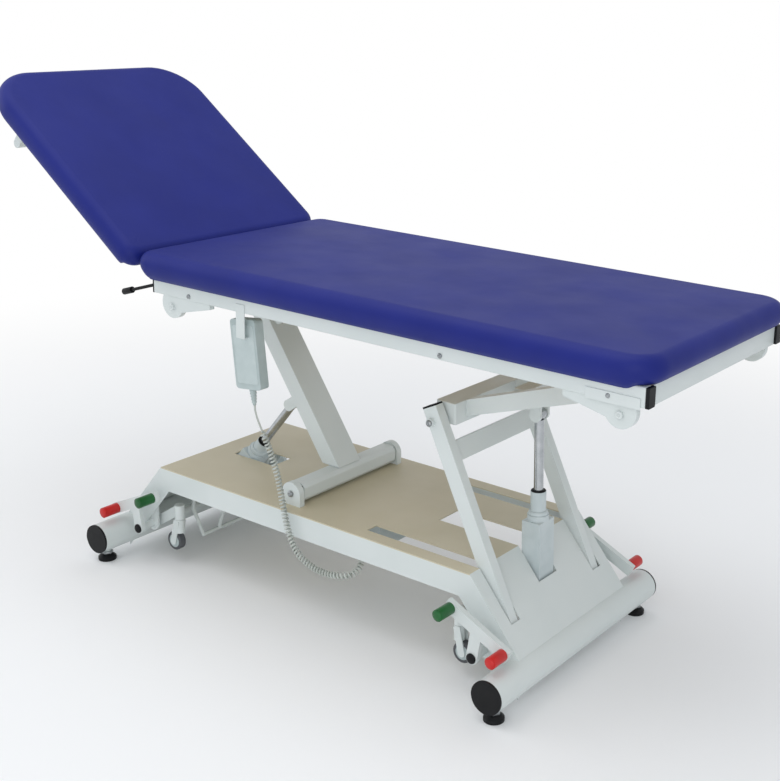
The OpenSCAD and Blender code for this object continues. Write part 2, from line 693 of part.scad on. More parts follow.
// Gas spring between the frame and the backrest
cheek_t = 3;
gas_top = back_hinge + turned(gas_lug - back_hinge, back_angle);
module gas_cylinder() color("dimgray") placed() difference() {
  union() {
    rod_on_line(gas_pivot, gas_top, gas_d, gas_d, gas_len, gas_y);
    rod_on_line(gas_pivot, gas_top, ear_t - side_gap, 0, gas_d + over, gas_y);
    rod_across(gas_pivot, gas_d, span(gas_y, ear_t));
  }
  rod_across(gas_pivot, back_pin_d + 2 * pin_gap, span(gas_y, 3 * ear_t));
  rod_on_line(gas_pivot, gas_top, gas_rod_d + 2 * pin_gap, gas_d, gas_len + over, gas_y);
}
gas_web_share = 1.7;
module gas_rod() color("silver") placed() {
  reach = norm(gas_top - gas_pivot);
  web = reach - gas_web_share * ear_d;
  rod_on_line(gas_pivot, gas_top, gas_rod_d, gas_rod_start, web, gas_y);
  for (side = [-1, 1]) across(span(gas_y + side * (ear_t / 2 + side_gap + cheek_t / 2), cheek_t))
    lug_2d(gas_top, along(gas_top, gas_pivot, reach - web), ear_d);
  rod_on_line(gas_pivot, gas_top, ear_d, web - gas_rod_d, web, gas_y);
}
module release_lever() color("black") placed() {
  reach = norm(lever_tip - lever_pivot);
  rod_on_line(lever_pivot, lever_tip, lever_d, 0, reach, lever_y);
  rod_on_line(lever_pivot, lever_tip, knob_d, reach, reach + 2 * knob_d, lever_y);
}

// Castors and pedals, drawn at the foot end on the far side
stem_low = castor_arm_z - 2 * stem_r;
module end_of(s) mirror([s < 0 ? 1 : 0, 0, 0]) children();
module pedals(s) end_of(s) difference() {
  union() {
    rod_across([shaft_x, shaft_z], shaft_d, [-1, 1] * (pedal_gauge / 2 - side_gap));
    both_sides() {
      across(span(pedal_gauge / 2, pedal_bar_w)) bar_2d(pedal_high, pedal_low, pedal_bar_h);
      across(span(pedal_gauge / 2, pedal_bar_w - 2 * side_gap))
        lug_2d([shaft_x, shaft_z], along(pedal_high, pedal_low, norm(pedal_low - pedal_high) / 2), boss_d);
      across(span(castor_gauge / 2, plate_t))
        bar_2d([shaft_x, shaft_z], [castor_x, castor_arm_z], 2 * stem_r);
      translate([castor_x, castor_gauge / 2, stem_low]) cylinder(r = stem_r, h = 3 * stem_r);
    }
  }
  both_sides() translate([castor_x, castor_gauge / 2, stem_low - stem_r])
    cylinder(d = stem_r + 2 * pin_gap, h = 3 * stem_r + side_gap);
}
module caps(s, p) end_of(s) both_sides()
  rod_across(p, pedal_cap_d, (pedal_gauge + pedal_bar_w) / 2 * [1, 1] + [0, pedal_cap_len]);
module head_pedals() color("gainsboro") placed() pedals(-1);
module foot_pedals() color("gainsboro") placed() pedals(1);
cap_in = along(pedal_high, pedal_low, pedal_cap_d / 2);
cap_out = along(pedal_low, pedal_high, pedal_cap_d / 2);
module head_green_caps() color("green") placed() caps(-1, cap_in);
module head_red_caps() color("red") placed() caps(-1, cap_out);
module foot_green_caps() color("green") placed() caps(1, cap_in);
module foot_red_caps() color("red") placed() caps(1, cap_out);
fork_inner = wheel_w / 2 + side_gap;
fork_wall = 3;
fork_leg_w = 19;
module castor_fork(s, side) end_of(s) translate([castor_x, side * castor_gauge / 2, 0]) {
  top = stem_low - side_gap;
  translate([0, 0, top]) cylinder(d = stem_r, h = 2 * stem_r);
  crown_z = wheel_z + wheel_d / 2 + side_gap;
  translate([0, 0, crown_z]) cylinder(r = stem_r, h = top - crown_z);
  both_sides() across([fork_inner, fork_inner + fork_wall])
    lug_2d([castor_trail, wheel_z], [0, top - 2 * side_gap], fork_leg_w);
  rod_across([castor_trail, wheel_z], axle_d, [-1, 1] * (fork_inner + fork_wall));
}
module castor_wheel(s, side) end_of(s) translate([0, side * castor_gauge / 2, 0]) difference() {
  rod_across([castor_x + castor_trail, wheel_z], wheel_d, [-1, 1] * wheel_w / 2);
  rod_across([castor_x + castor_trail, wheel_z], axle_d + 2 * pin_gap, [-1, 1] * wheel_w);
}
module head_near_fork() color("white") placed() castor_fork(-1, -1);
module head_far_fork() color("white") placed() castor_fork(-1, 1);
module foot_near_fork() color("white") placed() castor_fork(1, -1);
module foot_far_fork() color("white") placed() castor_fork(1, 1);
module head_near_wheel() color("dimgray") placed() castor_wheel(-1, -1);
module head_far_wheel() color("dimgray") placed() castor_wheel(-1, 1);
module foot_near_wheel() color("dimgray") placed() castor_wheel(1, -1);
module foot_far_wheel() color("dimgray") placed() castor_wheel(1, 1);

// Hand control, its hook on the rail and its curly cord
module handset_tilt() translate([handset_place[0], handset_y, handset_place[1]])
  rotate([0, -handset_lean, 0]) children();
hook_t = 2;
module handset() color("lightsteelblue") placed() handset_tilt() {
  rotate([90, 0, 0]) translate([0, 0, -handset_t / 2]) linear_extrude(handset_t)
    rounded_2d(handset_w, handset_h, handset_r);
  translate([0, 0, -handset_h / 2 - relief_len])
    cylinder(d1 = relief_d / 2, d2 = relief_d, h = relief_len, $fn = 48);
}
module handset_hook() color("gray") placed() {
  y = handset_y - handset_t / 2;
  top = handset_place[1] + handset_h / 2;
  x = span(handset_place[0], handset_w / 3);
  block(x, [-frame_w / 2 - hook_t, -frame_w / 2], [top - rail_h, rail_low + rail_h / 2]);
  block(x, [-frame_w / 2, y], [top - rail_h, top - rail_h + hook_t]);
}
// The cord is one tube: straight out of the relief, curled along its route, straight into the gland
cord_sides = 6;
curl_rings = 8;
relief_tip = [handset_place[0] + (handset_h / 2 + relief_len) * sin(handset_lean), handset_y,
  handset_place[1] - (handset_h / 2 + relief_len) * cos(handset_lean)];
relief_way = [sin(handset_lean), 0, -cos(handset_lean)];
gland_tip = [gland_place[0], box_y[0] - gland_len, gland_place[1]];
route = concat([relief_tip + 3 * cord_d * relief_way], curl_route, [gland_tip - [0, 3 * cord_d, 0]]);
side_hint = [0.4, -0.8, 0.5];
function unit(v) = v / norm(v);
function clamped(i) = route[max(0, min(len(route) - 1, i))];
// Point and heading of a smooth curve through the route's points, u from 0 to the last point's number
function curve_at(u) = let (i = min(floor(u), len(route) - 2), t = u - i,
  a = clamped(i - 1), b = clamped(i), c = clamped(i + 1), d = clamped(i + 2))
  0.5 * (2 * b + (c - a) * t + (2 * a - 5 * b + 4 * c - d) * t * t + (3 * b - a - 3 * c + d) * t * t * t);
near_share = 0.05;
function way_at(u) =
  unit(curve_at(min(u + near_share, len(route) - 1)) - curve_at(max(u - near_share, 0)));
function spread(v, w) = unit(v - (v * w) * w);
// Lengths along the route, so that the curls keep one pitch
marks = 4 * (len(route) - 1);
lengths = [for (i = 0, s = 0; i <= marks; i = i + 1,
  s = s + (i <= marks ? norm(curve_at(i / 4) - curve_at((i - 1) / 4)) : 0)) s];
function u_at(s, i = 0) = i >= marks - 1 || lengths[i + 1] >= s
  ? (i + (s - lengths[i]) / (lengths[i + 1] - lengths[i])) / 4 : u_at(s, i + 1);
steps = curls * curl_rings;
curl_r = (curl_d - cord_d) / 2;
function ramp(i) = min(1, i / curl_rings, (steps - i) / curl_rings);
function curl_point(i) = let (u = u_at(lengths[marks] * i / steps), w = way_at(u), n = spread(side_hint, w),
  a = 360 * i / curl_rings) [curve_at(u) + curl_r * ramp(i) * (cos(a) * n + sin(a) * cross(w, n)),
  cos(a) * n + sin(a) * cross(w, n)];
curl_points = [for (i = [0:steps]) curl_point(i)];
first_out = curl_points[0][1];
last_out = curl_points[steps][1];
tube_points = concat([relief_tip, relief_tip + cord_d * relief_way], [for (p = curl_points) p[0]],
  [gland_tip - [0, cord_d, 0], gland_tip]);
tube_outs = concat([first_out, first_out], [for (p = curl_points) p[1]], [last_out, last_out]);
tube_last = len(tube_points) - 1;
function tube_way(i) = i < 2 ? relief_way : i > tube_last - 2 ? [0, 1, 0]
  : unit(tube_points[i + 1] - tube_points[i - 1]);
function tube_ring(i) = let (w = tube_way(i), n = spread(tube_outs[i], w), b = cross(w, n))
  [for (k = [0:cord_sides - 1]) tube_points[i]
    + cord_d / 2 * (cos(360 * k / cord_sides) * n + sin(360 * k / cord_sides) * b)];
self_gap = min([for (i = [curl_rings:steps - 2 * curl_rings], k = [-2:2])
  norm(curl_points[i][0] - curl_points[i + curl_rings + k][0])]) - cord_d;
echo(least_gap_between_curls = self_gap);
module handset_cord() color("lightgray") placed() {
  n = cord_sides;
  points = [for (i = [0:tube_last]) each tube_ring(i)];
  polyhedron(points, concat(
    [for (i = [0:tube_last - 1], k = [0:n - 1]) [i * n + k, i * n + (k + 1) % n, (i + 1) * n + (k + 1) % n]],
    [for (i = [0:tube_last - 1], k = [0:n - 1]) [i * n + k, (i + 1) * n + (k + 1) % n, (i + 1) * n + k]],
    [for (k = [1:n - 2]) [0, k + 1, k]],
    [for (k = [1:n - 2]) [tube_last * n, tube_last * n + k, tube_last * n + k + 1]]));
}

deck_top();
head_slope();
foot_slope();
deck_skirts();
head_cross_tube();
foot_cross_tube();
tube_end_caps();
foot_stems();
foot_pads();
arm_bearings();
leg_bearings();
drive_brackets();
shaft_bearings();
control_box();
foot_bar();
arm_tube();
arm_cross_tube();
arm_brackets();
head_motor();
head_rod();
near_leg();
far_leg();
leg_crossbar();
leg_caps();
foot_motor();
foot_rod();
near_rail();
far_rail();
cross_members();
rail_caps();
foot_sleeves();
disc_brackets();
yoke();
yoke_cross_tube();
frame_lugs();
seat_board();
seat_cushion();
handset_hook();
handset();
handset_cord();
back_cushion();
back_board();
back_frame();
gas_cylinder();
gas_rod();
release_lever();
head_pedals();
foot_pedals();
head_green_caps();
head_red_caps();
foot_green_caps();
foot_red_caps();
head_near_fork();
head_far_fork();
foot_near_fork();
foot_far_fork();
head_near_wheel();
head_far_wheel();
foot_near_wheel();
foot_far_wheel();
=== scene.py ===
"""Examination table: finishes, cushions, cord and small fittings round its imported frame."""

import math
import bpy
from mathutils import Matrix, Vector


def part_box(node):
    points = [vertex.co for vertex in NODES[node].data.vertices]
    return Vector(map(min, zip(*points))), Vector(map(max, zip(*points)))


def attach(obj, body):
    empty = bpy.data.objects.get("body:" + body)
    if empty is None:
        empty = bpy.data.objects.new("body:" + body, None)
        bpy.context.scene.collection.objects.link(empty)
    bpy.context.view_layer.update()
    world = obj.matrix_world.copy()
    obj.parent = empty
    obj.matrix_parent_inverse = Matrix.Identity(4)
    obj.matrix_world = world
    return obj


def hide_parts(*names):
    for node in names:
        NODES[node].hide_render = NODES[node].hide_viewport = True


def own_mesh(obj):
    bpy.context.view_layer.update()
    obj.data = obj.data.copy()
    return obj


bl_info = {
    "name": "Examination Table",
    "version": (1, 0, 0),
    "blender": (4, 5, 0),
    "location": "View3D > Sidebar > Table",
    # The finishes include painted warm shade on the deck's top
    "description": "Dresses a height-adjustable examination table in its real finishes",
    "category": "Add Mesh",
}

import bmesh
import bpy
import numpy as np
from mathutils import Matrix, Vector

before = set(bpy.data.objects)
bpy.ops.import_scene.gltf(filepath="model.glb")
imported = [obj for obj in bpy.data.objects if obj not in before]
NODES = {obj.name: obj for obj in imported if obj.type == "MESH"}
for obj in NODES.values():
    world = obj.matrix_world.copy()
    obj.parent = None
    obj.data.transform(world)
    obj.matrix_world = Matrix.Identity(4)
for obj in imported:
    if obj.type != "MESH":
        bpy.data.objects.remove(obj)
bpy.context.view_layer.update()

# Lengths are in metres. The measured places are written in millimetres about the photograph's
# own middle, and place() moves them to the frame's origin
MM = 0.001
FRAME_SHIFT = 30.362


def place(x, y, z):
    """A measured point in millimetres as a point of the frame in metres."""
    return Vector(((x + FRAME_SHIFT) * MM, y * MM, z * MM))


# Camera, solved from the photograph's edges
CAMERA_AT = (1978.98, -2285.14, 1505.89)
CAMERA_RIGHT = Vector((0.8223, 0.5680, 0.0329))
CAMERA_AHEAD = Vector((-0.5436, 0.8010, -0.2507))
FOCAL_PX = 1283.72
CENTRE_PX = (511.27, 313.55)
IMAGE_PX = (780.0, 781.0)
SENSOR_MM = 36.0

# Stage, in metres: the floor's half width, where it fades to white, and each lamp's place and aim
FLOOR_HALF = 60.0
FLOOR_FADE = (1.1, 3.4)
LAMPS = {
    "ceiling_lamp": {"at": (-0.4, -0.6, 3.8), "size": 3.4, "aim": (0.0, 0.0, 0.3)},
    "window_lamp": {"at": (2.2, -3.4, 1.7), "size": 2.6, "aim": (0.0, 0.0, 0.5)},
    "back_lamp": {"at": (-3.2, -1.6, 2.2), "size": 2.4, "aim": (0.0, 0.0, 0.6)},
}

# Pivots of the lift and the backrest, as measured
ARM_PIVOT = (-65.0, 293.0)
LINK = (-236.03, 444.98)
YOKE_PIVOT = (352.0, 567.0)
LEG_PIVOT = (YOKE_PIVOT[0] - LINK[0], YOKE_PIVOT[1] - LINK[1])
BACK_HINGE = (-478.0, 805.0)
BACK_ANGLE = math.radians(36.0)

# Cushions. The cover turns in under the pad, and its lip hangs down beside the rails. Along a corner the
# lip runs out as the outline's normal turns away from y, from LIP_FULL to LIP_GONE
PAD_THICK = 58.0
PAD_WIDTH = 650.0
PAD_BASE = 797.3
PAD_POINTS = 420
PAD_CROWN = 2.6
PAD_LIP = 8.5
LIP_FULL = 1.0
LIP_GONE = 0.86
TURN_IN = 23.0
SIDE_ARC = (-66.0, 88.0)
SIDE_RINGS = 34
SIDE_BULGE = 0.95
TOP_SHARES = (0.985, 0.96, 0.92, 0.86, 0.76, 0.6, 0.4, 0.2, 0.0)
CORNER_PULLS = 64
PULL_DEPTH = 0.3
SEAT_X = (-446.0, 958.0)
BACK_X = (-1155.0, -474.0)

# The hand control and its cord, whose route is close to that of the frame's own solid
HANDSET_AT = (-110.0, -275.0, 655.0)
HANDSET_LEAN = math.radians(6.5)
HANDSET_SIZE = (80.0, 26.0, 165.0)
RELIEF_LEN = 40.0
CORD_D = 4.6
CURL_D = 16.0
CURLS = 70
LEAD_CURLS = 6
CURL_ROUTE = [
    (-91, -272, 500), (-84, -263, 466), (-72, -252, 420), (-58, -243, 360), (-46, -240, 297),
    (-30, -240, 232), (-4, -240, 182), (40, -242, 158), (90, -244, 152), (130, -243, 157),
    (156, -229, 161), (164, -208, 170), (160, -186, 195),
]
CURL_STEPS = 24
GLAND_TIP = (150.0, -154.0, 215.0)
SIDE_HINT = (0.4, -0.8, 0.5)
PANEL_MARGIN = (14.0, 26.0)
PANEL_PROUD = 0.7
PANEL_CORNER = 7.0
RELIEF_RIBS = 5
RIB_FIRST = 3.0
RIB_PITCH = 7.0
RELIEF_R = 8.0

# Small fittings: their places, and the profiles that are turned round their axes, as pairs of radius and
# distance along the axis in millimetres
SIDES = (("near", -1.0), ("far", 1.0))
ENDS = (("head", -1.0), ("foot", 1.0))
RAIL_FACE = 300.0
RAIL_SCREWS_X = (-281.0, 461.0, 856.0)
RAIL_SCREW_Z = 766.0
RAIL_SCREW_D = 11.0
BOSSES = ((-342.0, 731.0), (881.0, 733.0))
BOSS_PROFILE = [(0, 0), (8, 0), (8, 1.4), (6.6, 2.4), (3.2, 2.4), (2.8, 0.8), (0, 0.8)]
END_PLATE_T = 3.0
END_PLATE_GAP = 0.5
# Pivot, distance from the middle, body that turns the bolt, and the head's width
PIVOT_BOLTS = {
    "arm_pivot": (ARM_PIVOT, 191.5, "head_arm", 16.0),
    "leg_pivot": (LEG_PIVOT, 196.0, "base", 15.0),
    "yoke_pivot": (YOKE_PIVOT, 190.5, "leg_frame", 15.0),
}
ARM_CAP_Y = (170.0, 173.5)
ARM_CAP_INSET = 5.0
# Lower pivot, upper pivot, and how far the housing and the tube reach from the lower pivot
DRIVES = {
    "head": ((-480.0, 144.0), (-240.0, 434.0), 162.0, 210.0),
    "foot": ((527.0, 140.0), (514.0, 574.0), 185.0, 253.0),
}
COLLAR_PAST = 13.0
SEAL_PROFILE = [(11.3, -1), (17.2, -1), (17.2, 1.2), (16.0, 2.4), (12.2, 3.2), (11.3, 3.2)]
COLLAR_PROFILE = [(18.1, 0), (23, 0), (23.6, 1.5), (21.5, 7), (19.5, 9), (18.1, 9)]
LEVELLER = (624.0, 302.0, 16.2)
NUT_PROFILE = [(10.1, 0), (14.5, 0), (15.4, 1), (15.4, 6), (14.5, 7), (10.1, 7)]
SHAFT_END = (537.0, 268.6, 97.0)
PLUG_PROFILE = [(0, 0), (12, 0), (12, 2), (9.5, 4), (0, 4.6)]
WHEEL = (469.0, 200.0, 61.0)
HUB_OUT = 9.0
HUB_PROFILE = [(3.2, 0), (17.5, 0), (17.0, 0.5), (15.5, 0.2), (8, 0.3), (7, 0.8), (3.2, 0.8)]
PEDAL_CAPS = {"green": (478.3, 197.4), "red": (617.7, 133.6)}
CAP_FACE = 313.6
DOME_PROFILE = [(0, 0), (12.2, 0), (11.4, 1.6), (8, 3.0), (0, 3.8)]


def linear(code):
    """An sRGB hex colour as linear red, green, blue and alpha. A property's colour is linear already."""
    if not isinstance(code, str):
        return [*code, 1.0]
    parts = [int(code[i : i + 2], 16) / 255 for i in (1, 3, 5)]
    return [p / 12.92 if p <= 0.04045 else ((p + 0.055) / 1.055) ** 2.4 for p in parts] + [1.0]


def add(tree, kind, values=None, links=None, **settings):
    """Adds one shader node with its settings, socket values and incoming links."""
    made = tree.nodes.new(kind)
    for name, value in settings.items():
        setattr(made, name, value)
    for socket, value in (values or {}).items():
        made.inputs[socket].default_value = value
    for socket, source in (links or {}).items():
        tree.links.new(source, made.inputs[socket])
    return made


def blank(name, colour, roughness, metallic=0.0, **sockets):
    """A material with its Principled shader's constants set. Returns it with its tree and shader."""
    made = bpy.data.materials.new(name)
    made.use_nodes = True
    tree = made.node_tree
    shader = tree.nodes["Principled BSDF"]
    shader.inputs["Base Color"].default_value = linear(colour)
    shader.inputs["Roughness"].default_value = roughness
    shader.inputs["Metallic"].default_value = metallic
    for socket, value in sockets.items():
        shader.inputs[socket.replace("_", " ").title().replace("Ior", "IOR")].default_value = value
    made.diffuse_color = linear(colour)
    return made, tree, shader


def cloudy(tree, shader, dark, light, size_mm):
    """Lets the colour drift between two shades in clouds of size_mm."""
    where = add(tree, "ShaderNodeTexCoord")
    clouds = add(
        tree, "ShaderNodeTexNoise",
        {"Scale": 1000.0 / size_mm, "Detail": 3.0, "Roughness": 0.6},
        {"Vector": where.outputs["Object"]},
    )
    ramp = add(tree, "ShaderNodeValToRGB", links={"Fac": clouds.outputs["Fac"]})
    ramp.color_ramp.elements[0].position = 0.35
    ramp.color_ramp.elements[0].color = linear(dark)
    ramp.color_ramp.elements[1].position = 0.65
    ramp.color_ramp.elements[1].color = linear(light)
    tree.links.new(ramp.outputs["Color"], shader.inputs["Base Color"])
    return where


def worn(tree, shader, where, low, high, size_mm):
    """Roughness that drifts between low and high in patches of size_mm, as hands and cleaning leave it."""
    patches = add(
        tree, "ShaderNodeTexNoise",
        {"Scale": 1000.0 / size_mm, "Detail": 4.0},
        {"Vector": where.outputs["Object"]},
    )
    span = add(
        tree, "ShaderNodeMapRange",
        {"From Min": 0.3, "From Max": 0.7, "To Min": low, "To Max": high},
        {"Value": patches.outputs["Fac"]},
    )
    tree.links.new(span.outputs["Result"], shader.inputs["Roughness"])


def pebbled(tree, shader, where, size_mm, depth_mm, strength=1.0, cells=False):
    """A bump of rounded grains, size_mm across and depth_mm deep."""
    if cells:
        grain = add(
            tree, "ShaderNodeTexVoronoi",
            {"Scale": 1000.0 / size_mm, "Randomness": 0.9},
            {"Vector": where.outputs["Object"]},
            feature="SMOOTH_F1",
        )
        height = grain.outputs["Distance"]
    else:
        grain = add(
            tree, "ShaderNodeTexNoise",
            {"Scale": 1000.0 / size_mm, "Detail": 1.0},
            {"Vector": where.outputs["Object"]},
        )
        height = grain.outputs["Fac"]
    bump = add(
        tree, "ShaderNodeBump",
        {"Strength": strength, "Distance": depth_mm * MM},
        {"Height": height},
    )
    tree.links.new(bump.outputs["Normal"], shader.inputs["Normal"])
    return bump


def powder_coat(name, dark, light, roughness=0.36):
    """Powder-coated steel: baked polyester, satin, with a faint orange peel a few millimetres across."""
    made, tree, shader = blank(name, light, roughness, Coat_weight=0.12, Coat_roughness=0.25)
    where = cloudy(tree, shader, dark, light, 260.0)
    worn(tree, shader, where, roughness - 0.05, roughness + 0.07, 90.0)
    pebbled(tree, shader, where, 3.0, 0.02, 0.35)
    return made


def moulded(name, dark, light, roughness, grain_mm=1.2, depth_mm=0.05, specular=0.5):
    """Injection-moulded plastic: an even colour and the fine texture of its mould."""
    made, tree, shader = blank(name, light, roughness, Ior=1.5, Specular_ior_level=specular)
    where = cloudy(tree, shader, dark, light, 60.0)
    worn(tree, shader, where, roughness - 0.05, roughness + 0.06, 35.0)
    pebbled(tree, shader, where, grain_mm, depth_mm, 0.5)
    return made


def coated_fabric(dark, light):
    """Upholstery vinyl: a soft PVC skin on knit, embossed with a leather grain 2 to 3 mm across.
    The grain is drawn a little coarse so that it shows, and long soft waves follow the foam."""
    made, tree, shader = blank("vinyl_upholstery", light, 0.5, Specular_ior_level=0.22)
    where = cloudy(tree, shader, dark, light, 180.0)
    worn(tree, shader, where, 0.46, 0.54, 120.0)
    grain = pebbled(tree, shader, where, 3.2, 0.16, 0.35, cells=True)
    waves = add(
        tree, "ShaderNodeTexNoise",
        {"Scale": 14.0, "Detail": 2.0},
        {"Vector": where.outputs["Object"]},
    )
    soft = add(
        tree, "ShaderNodeBump",
        {"Strength": 0.2, "Distance": 1.5 * MM},
        {"Height": waves.outputs["Fac"], "Normal": grain.outputs["Normal"]},
    )
    tree.links.new(soft.outputs["Normal"], shader.inputs["Normal"])
    return made


def ground_steel():
    """Ground and hard-chromed rod: bright, with fine rings left round it by the grinding wheel."""
    made, tree, shader = blank("ground_steel", "#b9bcbe", 0.22, 1.0)
    where = cloudy(tree, shader, "#a9adb0", "#c4c7c9", 40.0)
    rings = add(
        tree, "ShaderNodeTexNoise",
        {"Scale": 600.0, "Detail": 2.0},
        {"Vector": where.outputs["Object"]},
    )
    span = add(
        tree, "ShaderNodeMapRange",
        {"To Min": 0.16, "To Max": 0.32},
        {"Value": rings.outputs["Fac"]},
    )
    tree.links.new(span.outputs["Result"], shader.inputs["Roughness"])
    return made


def zinc_plated():
    """Zinc-plated screws and washers: grey, slightly dull and cloudy."""
    made, tree, shader = blank("zinc_plated", "#9fa3a5", 0.38, 1.0)
    cloudy(tree, shader, "#8d9193", "#aeb2b4", 6.0)
    return made


def birch_ply():
    """Birch plywood under the pads: pale, with long grain along the board."""
    made, tree, shader = blank("birch_plywood", "#b99d72", 0.6)
    where = add(tree, "ShaderNodeTexCoord")
    stretch = add(
        tree, "ShaderNodeMapping",
        {"Scale": (4.0, 90.0, 90.0)},
        {"Vector": where.outputs["Object"]},
    )
    grain = add(
        tree, "ShaderNodeTexNoise",
        {"Scale": 1.5, "Detail": 5.0},
        {"Vector": stretch.outputs["Vector"]},
    )
    ramp = add(tree, "ShaderNodeValToRGB", links={"Fac": grain.outputs["Fac"]})
    ramp.color_ramp.elements[0].position = 0.3
    ramp.color_ramp.elements[0].color = linear("#a3865b")
    ramp.color_ramp.elements[1].position = 0.7
    ramp.color_ramp.elements[1].color = linear("#c6ab80")
    tree.links.new(ramp.outputs["Color"], shader.inputs["Base Color"])
    return made


def build_materials(colours):
    """Every finish of the table, by name. The three large ones take their shades from the properties, and the
    deck top's pair is painted warm shade on white powder coat.
    """
    return {
        "white": powder_coat("powder_coat_white", colours.frame_dark, colours.frame_light),
        # The deck's top is the frame's white powder coat, drawn beige as painted warm shade where it lies
        # under the cushions
        "deck_painted_warm_shade": powder_coat("white_coat_painted_warm_shade", colours.deck_painted_shade_dark, colours.deck_painted_shade_light, 0.42),
        "black_enamel": powder_coat("black_lacquer", "#0f1012", "#151618", 0.3),
        "black": moulded("black_polyamide", "#0e0f11", "#151618", 0.45, specular=0.22),
        "housing": moulded("drive_housing", "#bcc8ca", "#c8d2d4", 0.4),
        "grey": moulded("grey_abs", "#a6b4b4", "#b2bfbf", 0.42),
        "cord": moulded("pvc_jacket", "#aeb4ae", "#bcc2bc", 0.38, 0.8, 0.03),
        "green": moulded("green_polyamide", "#06521f", "#0a6429", 0.35),
        "red": moulded("red_polyamide", "#b8120f", "#cc1b17", 0.35),
        "tread": moulded("castor_tread", "#44464a", "#505357", 0.6),
        "steel": ground_steel(),
        "zinc": zinc_plated(),
        "ply": birch_ply(),
        "vinyl": coated_fabric(colours.cover_dark, colours.cover_light),
        "panel": moulded("key_panel_film", "#b5c2c2", "#bfcbcb", 0.34, 0.8, 0.02),
    }


# Which finish each of the frame's own solids takes; the deck top's is the white powder coat with painted warm
# shade
FINISH = {
    "deck_painted_warm_shade": ["deck_top"],
    "white": [
        "head_slope", "foot_slope", "deck_skirts", "head_cross_tube", "foot_cross_tube", "foot_stems",
        "arm_bearings", "leg_bearings", "drive_brackets", "shaft_bearings", "foot_bar", "arm_tube",
        "arm_cross_tube", "arm_brackets", "near_leg", "far_leg", "leg_crossbar", "near_rail", "far_rail",
        "cross_members", "foot_sleeves", "disc_brackets", "yoke", "yoke_cross_tube", "frame_lugs",
        "back_frame", "head_pedals", "handset_hook", "foot_pedals", "head_near_fork", "head_far_fork",
        "foot_near_fork", "foot_far_fork",
    ],
    "black": ["tube_end_caps", "foot_pads", "leg_caps", "rail_caps", "release_lever"],
    "housing": ["head_motor", "foot_motor", "control_box"],
    "steel": ["head_rod", "foot_rod", "gas_rod"],
    "black_enamel": ["gas_cylinder"],
    "ply": ["seat_board", "back_board"],
    "grey": ["handset"],
    "green": ["head_green_caps", "foot_green_caps"],
    "red": ["head_red_caps", "foot_red_caps"],
    "tread": ["head_near_wheel", "head_far_wheel", "foot_near_wheel", "foot_far_wheel"],
}
# Solids whose straight edges are rolled or ground on the real table, with the edge's radius
SOFT_EDGES = {
    "near_rail": 3.0, "far_rail": 3.0, "arm_tube": 4.0, "arm_cross_tube": 3.0, "near_leg": 3.0,
    "far_leg": 3.0, "yoke_cross_tube": 3.0, "yoke": 3.0, "leg_crossbar": 3.0,
    "handset": 4.0, "head_motor": 3.0, "foot_motor": 3.0, "control_box": 3.0, "tube_end_caps": 2.0,
    "rail_caps": 2.0, "foot_sleeves": 1.0, "disc_brackets": 2.0, "head_pedals": 1.5,
    "foot_pedals": 1.5, "head_green_caps": 3.0, "head_red_caps": 3.0, "foot_green_caps": 3.0,
    "foot_red_caps": 3.0, "foot_pads": 2.0, "back_frame": 2.0, "release_lever": 2.0,
    "head_near_wheel": 2.0, "head_far_wheel": 2.0, "foot_near_wheel": 2.0, "foot_far_wheel": 2.0,
}
MATERIALS = {}


def mesh_from(name, points, faces, material):
    """A smooth mesh object from arrays of points in metres and of faces. Its doubles are merged and its
    faces turned outwards."""
    data = bpy.data.meshes.new(name)
    data.from_pydata(np.asarray(points, float).tolist(), [], [list(map(int, f)) for f in faces])
    shape = bmesh.new()
    shape.from_mesh(data)
    bmesh.ops.remove_doubles(shape, verts=shape.verts, dist=1e-6)
    bmesh.ops.dissolve_degenerate(shape, dist=1e-7, edges=shape.edges)
    bmesh.ops.recalc_face_normals(shape, faces=shape.faces)
    shape.to_mesh(data)
    shape.free()
    data.polygons.foreach_set("use_smooth", [True] * len(data.polygons))
    data.materials.append(MATERIALS[material])
    made = bpy.data.objects.new(name, data)
    bpy.context.scene.collection.objects.link(made)
    return made


def grid_faces(rows, columns):
    """Quads between neighbouring points of a grid, numbered row by row, each row a closed ring."""
    r = np.arange(rows - 1)[:, None] * columns
    c = np.arange(columns)[None, :]
    n = (c + 1) % columns
    quads = np.stack([r + c, r + n, r + columns + n, r + columns + c], axis=-1)
    return quads.reshape(-1, 4)


def frame_of(axis):
    """Two unit vectors square to the axis and to each other."""
    w = np.asarray(axis, float) / np.linalg.norm(axis)
    hint = np.array([0.0, 1.0, 0.0]) if abs(w[1]) < 0.9 else np.array([1.0, 0.0, 0.0])
    u = np.cross(hint, w)
    u /= np.linalg.norm(u)
    return u, np.cross(w, u), w


def turned_part(name, at, axis, profile, material, sides=48):
    """A lathe-turned shape: the profile's (radius, distance) pairs in mm carried round the axis.
    A point is at + distance * axis + radius * (cos a * u + sin a * v)."""
    u, v, w = frame_of(axis)
    prof = np.asarray(profile, float) * MM
    a = np.linspace(0.0, 2 * math.pi, sides, endpoint=False)
    ring = np.cos(a)[:, None] * u + np.sin(a)[:, None] * v
    points = (
        np.asarray(at)[None, None, :]
        + prof[:, 1][:, None, None] * w
        + prof[:, 0][:, None, None] * ring[None, :, :]
    )
    return mesh_from(name, points.reshape(-1, 3), grid_faces(len(prof), sides), material)


def square_to(path, hint):
    """At each point of the path, two unit vectors square to it and to each other, the first one nearest
    the hint."""
    way = np.gradient(path, axis=0)
    way /= np.linalg.norm(way, axis=1)[:, None]
    n = np.asarray(hint) - (way @ np.asarray(hint))[:, None] * way
    n /= np.linalg.norm(n, axis=1)[:, None]
    return n, np.cross(way, n)


